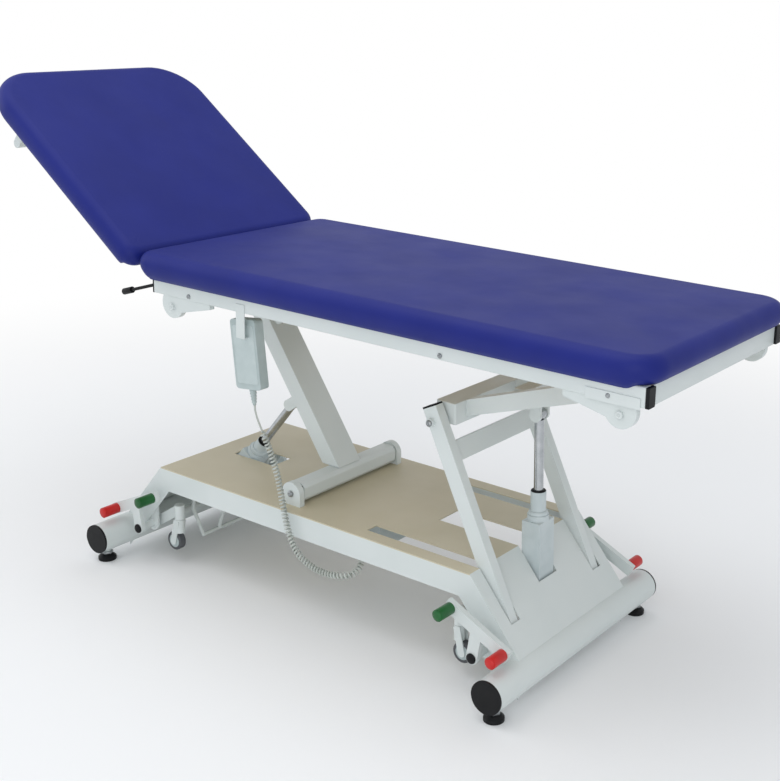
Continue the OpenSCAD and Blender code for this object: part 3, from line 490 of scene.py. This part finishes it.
def tube_along(name, path, radius, material, sides, hint):
    """A round tube along the path: at each point a ring of the radius, square to the path there."""
    p = np.asarray(path, float)
    n, b = square_to(p, hint)
    a = np.linspace(0.0, 2 * math.pi, sides, endpoint=False)[None, :, None]
    rings = p[:, None, :] + radius * (np.cos(a) * n[:, None, :] + np.sin(a) * b[:, None, :])
    points = np.vstack([rings.reshape(-1, 3), p[:1], p[-1:]])
    count = len(p) * sides
    k = np.arange(sides)
    ends = [[count, (i + 1) % sides, i] for i in k]
    ends += [[count + 1, count - sides + i, count - sides + (i + 1) % sides] for i in k]
    return mesh_from(name, points, grid_faces(len(p), sides).tolist() + ends, material)


def softened(node, radius_mm):
    """Rounds a frame solid's straight edges: merges its loose triangles, then bevels edges over 35
    degrees."""
    weld = node.modifiers.new("merge", "WELD")
    weld.merge_threshold = 1e-5
    bevel = node.modifiers.new("edge", "BEVEL")
    bevel.width = radius_mm * MM
    bevel.segments = 3
    bevel.limit_method = "ANGLE"
    bevel.angle_limit = math.radians(35)
    bevel.use_clamp_overlap = True
    bevel.harden_normals = False


def rounded_outline(length, width, near_r, far_r, count):
    """Points and outward normals of a rectangle with round corners, evenly spaced along its edge.
    x runs from 0 to length; the corners at x = 0 have near_r and those at x = length far_r."""
    half = width / 2
    corners = [
        (length - far_r, half - far_r, far_r, 0.0),
        (near_r, half - near_r, near_r, 90.0),
        (near_r, near_r - half, near_r, 180.0),
        (length - far_r, far_r - half, far_r, 270.0),
    ]
    points, normals = [], []
    for cx, cy, r, start in corners:
        a = np.radians(np.linspace(start, start + 90, 91))
        out = np.stack([np.cos(a), np.sin(a)], 1)
        points.append(np.array([cx, cy]) + r * out)
        normals.append(out)
    p = np.vstack(points + [points[0][:1]])
    n = np.vstack(normals + [normals[0][:1]])
    steps = np.concatenate([[0], np.cumsum(np.linalg.norm(np.diff(p, axis=0), axis=1))])
    at = np.linspace(0, steps[-1], count, endpoint=False)
    points = np.stack([np.interp(at, steps, p[:, k]) for k in (0, 1)], 1)
    normals = np.stack([np.interp(at, steps, n[:, k]) for k in (0, 1)], 1)
    return points, normals / np.linalg.norm(normals, axis=1)[:, None]


def pad_surface(length, near_r, far_r):
    """An upholstered pad, x from 0 to length, its underside at z = 0.
    Rings run from the underside's spine out to the edge, round a bulging side and up the crown. Along the
    straight sides the cover's lower edge drops by the lip and hides the top of the rails.
    A ring is the outline moved inwards along its normal; on the top and underside it shrinks towards the
    spine, and the crown's height there grows as one minus the square of the share that is left. Round the
    corners the cover's edge is pulled into small waves, which fade out across the top."""
    count = PAD_POINTS
    outline, normal = rounded_outline(length, PAD_WIDTH, near_r, far_r, count)
    half = PAD_THICK / 2
    spine = np.stack([np.clip(outline[:, 0], PAD_WIDTH / 2, length - PAD_WIDTH / 2), 0 * outline[:, 1]], 1)
    straight = np.clip((np.abs(normal[:, 1]) - LIP_GONE) / (LIP_FULL - LIP_GONE), 0, 1)
    drop = PAD_LIP * straight * straight * (3 - 2 * straight)
    rings = []

    def ring(inset, z, share=1.0):
        edge = outline - normal * inset
        flat = spine + share * (edge - spine)
        rings.append(np.column_stack([flat, np.zeros(count) + z]))

    for share in (0.0, 0.4, 0.8, 1.0):
        ring(TURN_IN + 1.5, 0.0, share)
    ring(TURN_IN, -0.4 * drop)
    ring(TURN_IN - 2.0, -drop)
    ring(TURN_IN - 4.5, -drop)
    for a in np.radians(np.linspace(*SIDE_ARC, SIDE_RINGS)):
        sag = drop * -math.sin(min(a, 0.0))
        ring(half * SIDE_BULGE * (1 - math.cos(a)), half + half * math.sin(a) - sag)
    corner = np.clip(1.0 - np.abs(np.abs(normal[:, 0]) - np.abs(normal[:, 1])) * 1.3, 0, 1)
    pulls = np.sin(np.arange(count) * 2 * math.pi / count * CORNER_PULLS) * corner
    for share in TOP_SHARES:
        fade = math.exp(-(((1 - share) / 0.07) ** 2))
        crown = PAD_CROWN * (1 - share * share)
        ring(half * SIDE_BULGE, PAD_THICK + crown + PULL_DEPTH * pulls * fade, share)
    return np.array(rings)


def make_pad(name, ends, near_r, far_r, raised=None):
    """Builds one cushion between its two ends in x, and turns it about the backrest's hinge by the angle
    raised."""
    rings = pad_surface(ends[1] - ends[0], near_r, far_r)
    points = rings.reshape(-1, 3) + np.array([ends[0], 0.0, PAD_BASE])
    if raised:
        x, z = points[:, 0] - BACK_HINGE[0], points[:, 2] - BACK_HINGE[1]
        points = np.column_stack([
            BACK_HINGE[0] + x * math.cos(raised) + z * math.sin(raised),
            points[:, 1],
            BACK_HINGE[1] - x * math.sin(raised) + z * math.cos(raised),
        ])
    points = (points + np.array([FRAME_SHIFT, 0.0, 0.0])) * MM
    made = mesh_from(name, points, grid_faces(len(rings), PAD_POINTS), "vinyl")
    smooth = made.modifiers.new("smooth", "SUBSURF")
    smooth.levels = smooth.render_levels = 1
    return made


def curve_through(points, steps):
    """Points on the smooth Catmull-Rom curve through the given ones, steps to each span."""
    p = np.vstack([points[0], points, points[-1]]).astype(float)
    t = np.linspace(0, 1, steps, endpoint=False)[:, None]
    out = []
    for i in range(1, len(p) - 2):
        a, b, c, d = p[i - 1], p[i], p[i + 1], p[i + 2]
        bend, twist = 2 * a - 5 * b + 4 * c - d, 3 * b - a - 3 * c + d
        out.append(0.5 * (2 * b + (c - a) * t + bend * t**2 + twist * t**3))
    return np.vstack(out + [p[-1:]])


def curly_path():
    """The cord's centreline in metres: straight out of the strain relief, in curls along its route, and
    straight into the gland. A curl's point is the route's point plus the curl radius times cos n + sin b.
    The radius is nothing along the lead, grows over one curl after it and fades over the last one."""
    reach = HANDSET_SIZE[2] / 2 + RELIEF_LEN
    down = np.array([math.sin(HANDSET_LEAN), 0.0, -math.cos(HANDSET_LEAN)])
    tip = np.asarray(HANDSET_AT) + reach * down
    gland = np.asarray(GLAND_TIP)
    route = np.vstack([tip + 3 * CORD_D * down, CURL_ROUTE, gland - [0, 3 * CORD_D, 0]])
    line = curve_through(route, 60)
    along = np.concatenate([[0], np.cumsum(np.linalg.norm(np.diff(line, axis=0), axis=1))])
    steps = CURLS * CURL_STEPS
    step = np.arange(steps + 1)
    at = np.linspace(0, along[-1], steps + 1)
    centre = np.stack([np.interp(at, along, line[:, k]) for k in range(3)], 1)
    n, b = square_to(centre, SIDE_HINT)
    turn = step * 2 * math.pi / CURL_STEPS
    grown = np.clip(step - LEAD_CURLS * CURL_STEPS, 0, None)
    ramp = np.minimum(1, np.minimum(grown, steps - step) / CURL_STEPS)
    radius = (CURL_D - CORD_D) / 2 * ramp
    curls = centre + radius[:, None] * (np.cos(turn)[:, None] * n + np.sin(turn)[:, None] * b)
    path = np.vstack([tip, tip + CORD_D * down, curls, gland - [0, CORD_D, 0], gland])
    return (path + [FRAME_SHIFT, 0.0, 0.0]) * MM


def screw(name, at, axis, head):
    """A zinc-plated button-head screw: a low dome of the head's width with a hollow for its key."""
    r = head / 2
    dome = [(0, 0), (r, 0), (r, 0.25 * r), (0.85 * r, 0.55 * r), (0.55 * r, 0.72 * r)]
    hollow = [(0.36 * r, 0.74 * r), (0.34 * r, 0.3 * r), (0, 0.28 * r)]
    return turned_part(name, at, axis, dome + hollow, "zinc", 24)


def slab(name, low, high, material, edge_mm):
    """A small moulded block between two corners in metres, its edges rounded."""
    x, y, z = [(low[k], high[k]) for k in range(3)]
    corners = [(a, b, c) for a in x for b in y for c in z]
    faces = [(0, 1, 3, 2), (4, 6, 7, 5), (0, 4, 5, 1), (2, 3, 7, 6), (0, 2, 6, 4), (1, 5, 7, 3)]
    made = mesh_from(name, corners, faces, material)
    bevel = made.modifiers.new("edge", "BEVEL")
    bevel.width = edge_mm * MM
    bevel.segments = 3
    return made


def riding(piece, body):
    """Gives a piece its body."""
    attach(piece, body)
    return piece


def size_property(name, text, value_mm, least_mm):
    """A length property, given in millimetres and held in metres."""
    return bpy.props.FloatProperty(
        name=name, description=text, default=value_mm * MM, min=least_mm * MM, precision=4,
        subtype="DISTANCE", unit="LENGTH",
    )


def power_property(name, text, watts):
    """The power of a lamp, in watts."""
    return bpy.props.FloatProperty(name=name, description=text, default=watts, min=0.0, unit="POWER")


def colour_property(name, text, code):
    """A colour property with an sRGB hex colour as its default."""
    return bpy.props.FloatVectorProperty(
        name=name, description=text, subtype="COLOR", default=linear(code)[:3], min=0.0, max=1.0
    )


class TABLE_PG_colours(bpy.types.PropertyGroup):
    """The two shades that each of the large finishes drifts between; the deck's pair is painted warm shade.
    """

    cover_light: colour_property("Cover, light", "Lighter shade of the cushions' vinyl", "#1a257a")
    cover_dark: colour_property("Cover, dark", "Darker shade of the cushions' vinyl", "#172274")
    frame_light: colour_property("Frame, light", "Lighter shade of the frame's powder coat", "#d5dcdb")
    frame_dark: colour_property("Frame, dark", "Darker shade of the frame's powder coat", "#cfd7d6")
    # The deck's two colours are painted warm shade: the white frame paint drawn as its top face looks under
    # the cushions
    deck_painted_shade_light: colour_property("Deck, light", "Lighter shade of the deck's top", "#c8c0a7")
    deck_painted_shade_dark: colour_property("Deck, dark", "Darker shade of the deck's top", "#c1b99f")


class TABLE_PG_cushions(bpy.types.PropertyGroup):
    """Sizes of the two cushions that the vinyl is drawn over."""

    foot_corner: size_property("Foot corner", "Corner radius at the foot end", 72.0, 30.0)
    crease_corner: size_property("Crease corner", "Corner radius where the cushions meet", 42.0, 30.0)
    top_corner: size_property("Top corner", "Corner radius at the top of the backrest", 130.0, 30.0)
    fill: bpy.props.FloatProperty(
        name="Fill", description="How full the foam stands, from slack to tight",
        default=0.85, min=0.0, max=1.0, subtype="FACTOR",
    )


class TABLE_PG_stage(bpy.types.PropertyGroup):
    """The floor's colour and the strength of the light."""

    floor_colour: colour_property("Floor", "Colour of the floor", "#f4f5f6")
    key_power: power_property("Key light", "Power of the large ceiling lamp", 44.0)
    fill_power: power_property("Fill light", "Power of the window lamp, twice that of the back lamp", 30.0)
    sky_strength: bpy.props.FloatProperty(
        name="Sky", description="Strength of the even light from all round", default=0.72, min=0.0
    )


class TABLE_OT_finishes(bpy.types.Operator):
    """Give every solid of the frame its finish, the deck top's being white paint with painted warm shade, and
    roll the straight edges of those listed in SOFT_EDGES
    """

    bl_idname = "table.finishes"
    bl_label = "Frame finishes"

    def execute(self, context):
        MATERIALS.update(build_materials(context.scene.table_colours))
        for finish, names in FINISH.items():
            for name in names:
                node = NODES[name]
                node.data.materials.clear()
                node.data.materials.append(MATERIALS[finish])
        for name, radius in SOFT_EDGES.items():
            softened(NODES[name], radius)
        return {"FINISHED"}


class TABLE_OT_cushions(bpy.types.Operator):
    """Upholster the seat and the backrest"""

    bl_idname = "table.cushions"
    bl_label = "Cushions"

    def execute(self, context):
        sizes = context.scene.table_cushions
        foot, crease, top = sizes.foot_corner / MM, sizes.crease_corner / MM, sizes.top_corner / MM
        seat = make_pad("seat_pad", SEAT_X, crease, foot)
        back = make_pad("back_pad", BACK_X, top, crease, BACK_ANGLE)
        for pad, body, node in ((seat, "table_frame", "seat_cushion"), (back, "backrest", "back_cushion")):
            riding(pad, body)
            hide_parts(node)
        return {"FINISHED"}


class TABLE_OT_cord(bpy.types.Operator):
    """Run the hand control's curly cord down to its gland on the control box"""

    bl_idname = "table.cord"
    bl_label = "Curly cord"

    def execute(self, context):
        path = curly_path()
        cord = tube_along("curly_cord", path, CORD_D / 2 * MM, "cord", 10, SIDE_HINT)
        riding(cord, "table_frame")
        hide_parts("handset_cord")
        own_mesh(cord)
        return {"FINISHED"}


class TABLE_OT_frame_fittings(bpy.types.Operator):
    """Add the plate at the foot end, the screws of the rails and the bosses of the brackets under them"""

    bl_idname = "table.frame_fittings"
    bl_label = "Frame fittings"

    def execute(self, context):
        low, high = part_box("near_rail")
        inner = -high[1] - END_PLATE_GAP * MM
        outer_x = high[0] + END_PLATE_T * MM
        plate = slab("foot_end_plate", (high[0], -inner, low[2]), (outer_x, inner, high[2]), "white", 0.8)
        riding(plate, "table_frame")
        for side, way in SIDES:
            out = (0, way, 0)
            for i, x in enumerate(RAIL_SCREWS_X):
                at = place(x, way * RAIL_FACE, RAIL_SCREW_Z)
                riding(screw(f"{side}_rail_screw_{i}", at, out, RAIL_SCREW_D), "table_frame")
            for i, (x, z) in enumerate(BOSSES):
                at = place(x, way * RAIL_FACE, z)
                boss = turned_part(f"{side}_bracket_boss_{i}", at, out, BOSS_PROFILE, "white", 32)
                riding(boss, "table_frame")
        return {"FINISHED"}


class TABLE_OT_lift_fittings(bpy.types.Operator):
    """Add the pivot bolts of the lift, the end caps of the arm's cross tube and the seals and collars of
    the two drives"""

    bl_idname = "table.lift_fittings"
    bl_label = "Lift fittings"

    def execute(self, context):
        for side, way in SIDES:
            for name, ((x, z), y, body, head) in PIVOT_BOLTS.items():
                bolt = screw(f"{side}_{name}_bolt", place(x, way * y, z), (0, way, 0), head)
                riding(bolt, body)
        low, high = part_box("arm_cross_tube")
        inset = ARM_CAP_INSET * MM
        for side, way in SIDES:
            near_y, far_y = sorted(way * y * MM for y in ARM_CAP_Y)
            cap = slab(
                f"{side}_arm_cap",
                (low[0] + inset, near_y, low[2] + inset), (high[0] - inset, far_y, high[2] - inset),
                "black", 1.0,
            )
            riding(cap, "head_arm")
        for name, (foot, top, housing_len, tube_len) in DRIVES.items():
            axis = Vector((top[0] - foot[0], 0.0, top[1] - foot[1])).normalized()
            start = place(foot[0], 0.0, foot[1])
            tube_end = start + axis * (tube_len * MM)
            seal = turned_part(f"{name}_wiper_seal", tube_end, axis, SEAL_PROFILE, "black", 48)
            riding(seal, f"{name}_motor")
            tube_foot = start + axis * ((housing_len + COLLAR_PAST) * MM)
            collar = turned_part(f"{name}_tube_collar", tube_foot, axis, COLLAR_PROFILE, "housing", 48)
            riding(collar, f"{name}_motor")
        return {"FINISHED"}


class TABLE_OT_base_fittings(bpy.types.Operator):
    """Add the locknuts of the feet and the plugs of the castor shafts"""

    bl_idname = "table.base_fittings"
    bl_label = "Base fittings"

    def execute(self, context):
        for side, way in SIDES:
            for end, sign in ENDS:
                at = place(sign * LEVELLER[0], way * LEVELLER[1], LEVELLER[2])
                nut = turned_part(f"{end}_{side}_locknut", at, (0, 0, 1), NUT_PROFILE, "zinc", 6)
                riding(nut, "base")
            for end, sign in ENDS:
                at = place(sign * SHAFT_END[0], way * SHAFT_END[1], SHAFT_END[2])
                plug = turned_part(f"{end}_{side}_shaft_plug", at, (0, way, 0), PLUG_PROFILE, "black", 32)
                riding(plug, f"{end}_pedals")
        return {"FINISHED"}


class TABLE_OT_castor_fittings(bpy.types.Operator):
    """Add the hubs of the castor wheels and the domes of the pedal caps"""

    bl_idname = "table.castor_fittings"
    bl_label = "Castor fittings"

    def execute(self, context):
        for end, sign in ENDS:
            for side, way in SIDES:
                for face, out in (("in", -1.0), ("out", 1.0)):
                    at = place(sign * WHEEL[0], way * WHEEL[1] + out * HUB_OUT, WHEEL[2])
                    hub = turned_part(f"{end}_{side}_hub_{face}", at, (0, out, 0), HUB_PROFILE, "grey", 40)
                    riding(hub, f"{end}_{side}_wheel")
                for colour, (x, z) in PEDAL_CAPS.items():
                    at = place(sign * x, way * CAP_FACE, z)
                    name = f"{end}_{side}_{colour}_dome"
                    dome = turned_part(name, at, (0, way, 0), DOME_PROFILE, colour, 36)
                    riding(dome, f"{end}_pedals")
        return {"FINISHED"}


def key_panel(turn, middle):
    """The bare key panel: rings of a rounded outline that rise from the hand control's face to a raised
    rim and sink to the panel inside it, turned and moved with the hand control."""
    wide, deep, high = HANDSET_SIZE
    panel_w, panel_h = wide - PANEL_MARGIN[0], high - PANEL_MARGIN[1]
    count = 96
    outline, normal = rounded_outline(panel_w, panel_h, PANEL_CORNER, PANEL_CORNER, count)
    outline = outline - [panel_w / 2, 0.0]
    proud = PANEL_PROUD
    rings = []

    def ring(edge, up):
        rings.append(np.column_stack([edge[:, 0], np.full(count, -deep / 2 - up), edge[:, 1]]))

    for inset, up in ((0.0, -1.0), (0.0, proud * 0.6), (0.5, proud), (2.6, proud), (3.2, proud * 0.5)):
        edge = outline - normal * inset
        ring(edge, up)
    for share in (0.96, 0.5, 0.0):
        ring(share * edge, proud * 0.5)
    points = np.array(rings).reshape(-1, 3) * MM
    points = points @ np.array(turn.to_3x3()).T + np.array(middle)
    return mesh_from("handset_key_panel", points, grid_faces(len(rings), count), "panel")


def relief_ribs(start, down):
    """The strain relief: a sleeve with ribs that grow thinner towards the cord."""
    profile = [(6.0, 0.2), (RELIEF_R, 0.0)]
    for i in range(RELIEF_RIBS):
        at = RIB_FIRST + i * RIB_PITCH
        r = RELIEF_R - at / 10.0
        profile += [(r, at), (r + 0.9, at + 0.8), (r + 0.9, at + 3.4), (r - 0.3, at + 4.2)]
    profile += [(3.0, 39.5), (2.4, 39.5)]
    return turned_part("handset_relief_ribs", start, down, profile, "grey", 32)


class TABLE_OT_handset(bpy.types.Operator):
    """Finish the hand control: its bare key panel and its ribbed strain relief"""

    bl_idname = "table.handset"
    bl_label = "Hand control"

    def execute(self, context):
        turn = Matrix.Rotation(-HANDSET_LEAN, 4, "Y")
        middle = place(*HANDSET_AT)
        down = turn @ Vector((0, 0, -1))
        start = middle + down * (HANDSET_SIZE[2] / 2 * MM)
        for piece in (key_panel(turn, middle), relief_ribs(start, down)):
            riding(piece, "table_frame")
        return {"FINISHED"}


def pale_floor(colour):
    """A matt pale floor that keeps the object's shadow and fades to plain white away from it."""
    made, tree, shader = blank("floor_paint", colour, 0.8)
    where = add(tree, "ShaderNodeTexCoord")
    away = add(tree, "ShaderNodeVectorMath", links={0: where.outputs["Object"]}, operation="LENGTH")
    fade = add(
        tree, "ShaderNodeMapRange",
        {"From Min": FLOOR_FADE[0], "From Max": FLOOR_FADE[1]},
        {"Value": away.outputs["Value"]},
        interpolation_type="SMOOTHSTEP",
    )
    ray = add(tree, "ShaderNodeLightPath")
    share = add(
        tree, "ShaderNodeMath",
        links={0: fade.outputs["Result"], 1: ray.outputs["Is Camera Ray"]},
        operation="MULTIPLY",
    )
    white = add(tree, "ShaderNodeEmission", {"Color": linear("#ffffff"), "Strength": 1.0})
    mixed = add(
        tree, "ShaderNodeMixShader",
        links={0: share.outputs[0], 1: shader.outputs[0], 2: white.outputs[0]},
    )
    tree.links.new(mixed.outputs[0], tree.nodes["Material Output"].inputs["Surface"])
    return made


def pale_world(strength):
    """Even light from all round, in front of which the camera sees plain white."""
    world = bpy.data.worlds.new("studio")
    world.use_nodes = True
    tree = world.node_tree
    sky = tree.nodes["Background"]
    sky.inputs["Color"].default_value = linear("#fafcff")
    sky.inputs["Strength"].default_value = strength
    ray = add(tree, "ShaderNodeLightPath")
    white = add(tree, "ShaderNodeBackground", {"Color": linear("#ffffff"), "Strength": 1.0})
    seen = add(
        tree, "ShaderNodeMixShader",
        links={0: ray.outputs["Is Camera Ray"], 1: sky.outputs[0], 2: white.outputs[0]},
    )
    tree.links.new(seen.outputs[0], tree.nodes["World Output"].inputs["Surface"])
    return world


def solved_camera():
    """The camera as solved from the photograph, its centre shifted since the photograph is a crop."""
    data = bpy.data.cameras.new("camera")
    data.sensor_fit = "HORIZONTAL"
    data.sensor_width = SENSOR_MM
    data.lens = FOCAL_PX * SENSOR_MM / IMAGE_PX[0]
    data.shift_x = (IMAGE_PX[0] / 2 - CENTRE_PX[0]) / IMAGE_PX[0]
    data.shift_y = (CENTRE_PX[1] - IMAGE_PX[1] / 2) / IMAGE_PX[0]
    camera = bpy.data.objects.new("camera", data)
    right, ahead = CAMERA_RIGHT.normalized(), CAMERA_AHEAD.normalized()
    up = right.cross(ahead).normalized()
    turn = Matrix((right, up, -ahead)).transposed().to_4x4()
    camera.matrix_world = Matrix.Translation(place(*CAMERA_AT)) @ turn
    return camera


class TABLE_OT_stage(bpy.types.Operator):
    """Lay the floor, hang the lamps and set up the camera"""

    bl_idname = "table.stage"
    bl_label = "Stage"

    def execute(self, context):
        sizes = context.scene.table_stage
        far = FLOOR_HALF
        data = bpy.data.meshes.new("floor")
        data.from_pydata([(-far, -far, 0), (far, -far, 0), (far, far, 0), (-far, far, 0)], [], [(0, 1, 2, 3)])
        data.materials.append(pale_floor(sizes.floor_colour))
        floor = bpy.data.objects.new("floor", data)
        context.scene.collection.objects.link(floor)
        context.scene.world = pale_world(sizes.sky_strength)
        power = {
            "ceiling_lamp": sizes.key_power,
            "window_lamp": sizes.fill_power,
            "back_lamp": sizes.fill_power / 2,
        }
        for name, lamp in LAMPS.items():
            data = bpy.data.lights.new(name, "AREA")
            data.size = lamp["size"]
            data.energy = power[name]
            made = bpy.data.objects.new(name, data)
            context.scene.collection.objects.link(made)
            made.location = lamp["at"]
            view = Vector(lamp["aim"]) - Vector(lamp["at"])
            made.rotation_euler = view.to_track_quat("-Z", "Y").to_euler()
        context.scene.view_settings.view_transform = "Standard"
        camera = solved_camera()
        context.scene.collection.objects.link(camera)
        context.scene.camera = camera
        return {"FINISHED"}


STEPS = (
    TABLE_OT_stage, TABLE_OT_finishes, TABLE_OT_cord, TABLE_OT_cushions, TABLE_OT_frame_fittings,
    TABLE_OT_lift_fittings, TABLE_OT_base_fittings, TABLE_OT_castor_fittings, TABLE_OT_handset,
)


class TABLE_PT_panel(bpy.types.Panel):
    """Lists the steps that dress the table."""

    bl_label = "Examination Table"
    bl_idname = "TABLE_PT_panel"
    bl_space_type = "VIEW_3D"
    bl_region_type = "UI"
    bl_category = "Table"

    def draw(self, context):
        scene = context.scene
        for group in (scene.table_colours, scene.table_cushions, scene.table_stage):
            for name in group.__annotations__:
                self.layout.prop(group, name)
        for step in STEPS:
            self.layout.operator(step.bl_idname)


CLASSES = (TABLE_PG_colours, TABLE_PG_cushions, TABLE_PG_stage, *STEPS, TABLE_PT_panel)


def register():
    for made in CLASSES:
        bpy.utils.register_class(made)
    bpy.types.Scene.table_colours = bpy.props.PointerProperty(type=TABLE_PG_colours)
    bpy.types.Scene.table_cushions = bpy.props.PointerProperty(type=TABLE_PG_cushions)
    bpy.types.Scene.table_stage = bpy.props.PointerProperty(type=TABLE_PG_stage)


def unregister():
    del bpy.types.Scene.table_stage
    del bpy.types.Scene.table_cushions
    del bpy.types.Scene.table_colours
    for made in reversed(CLASSES):
        bpy.utils.unregister_class(made)


def main():
    """Runs every step in order."""
    register()
    bpy.ops.table.stage()
    bpy.ops.table.finishes()
    bpy.ops.table.cord()
    bpy.ops.table.cushions()
    bpy.ops.table.frame_fittings()
    bpy.ops.table.lift_fittings()
    bpy.ops.table.base_fittings()
    bpy.ops.table.castor_fittings()
    bpy.ops.table.handset()
    bpy.context.view_layer.update()


if __name__ == "__main__":
    main()
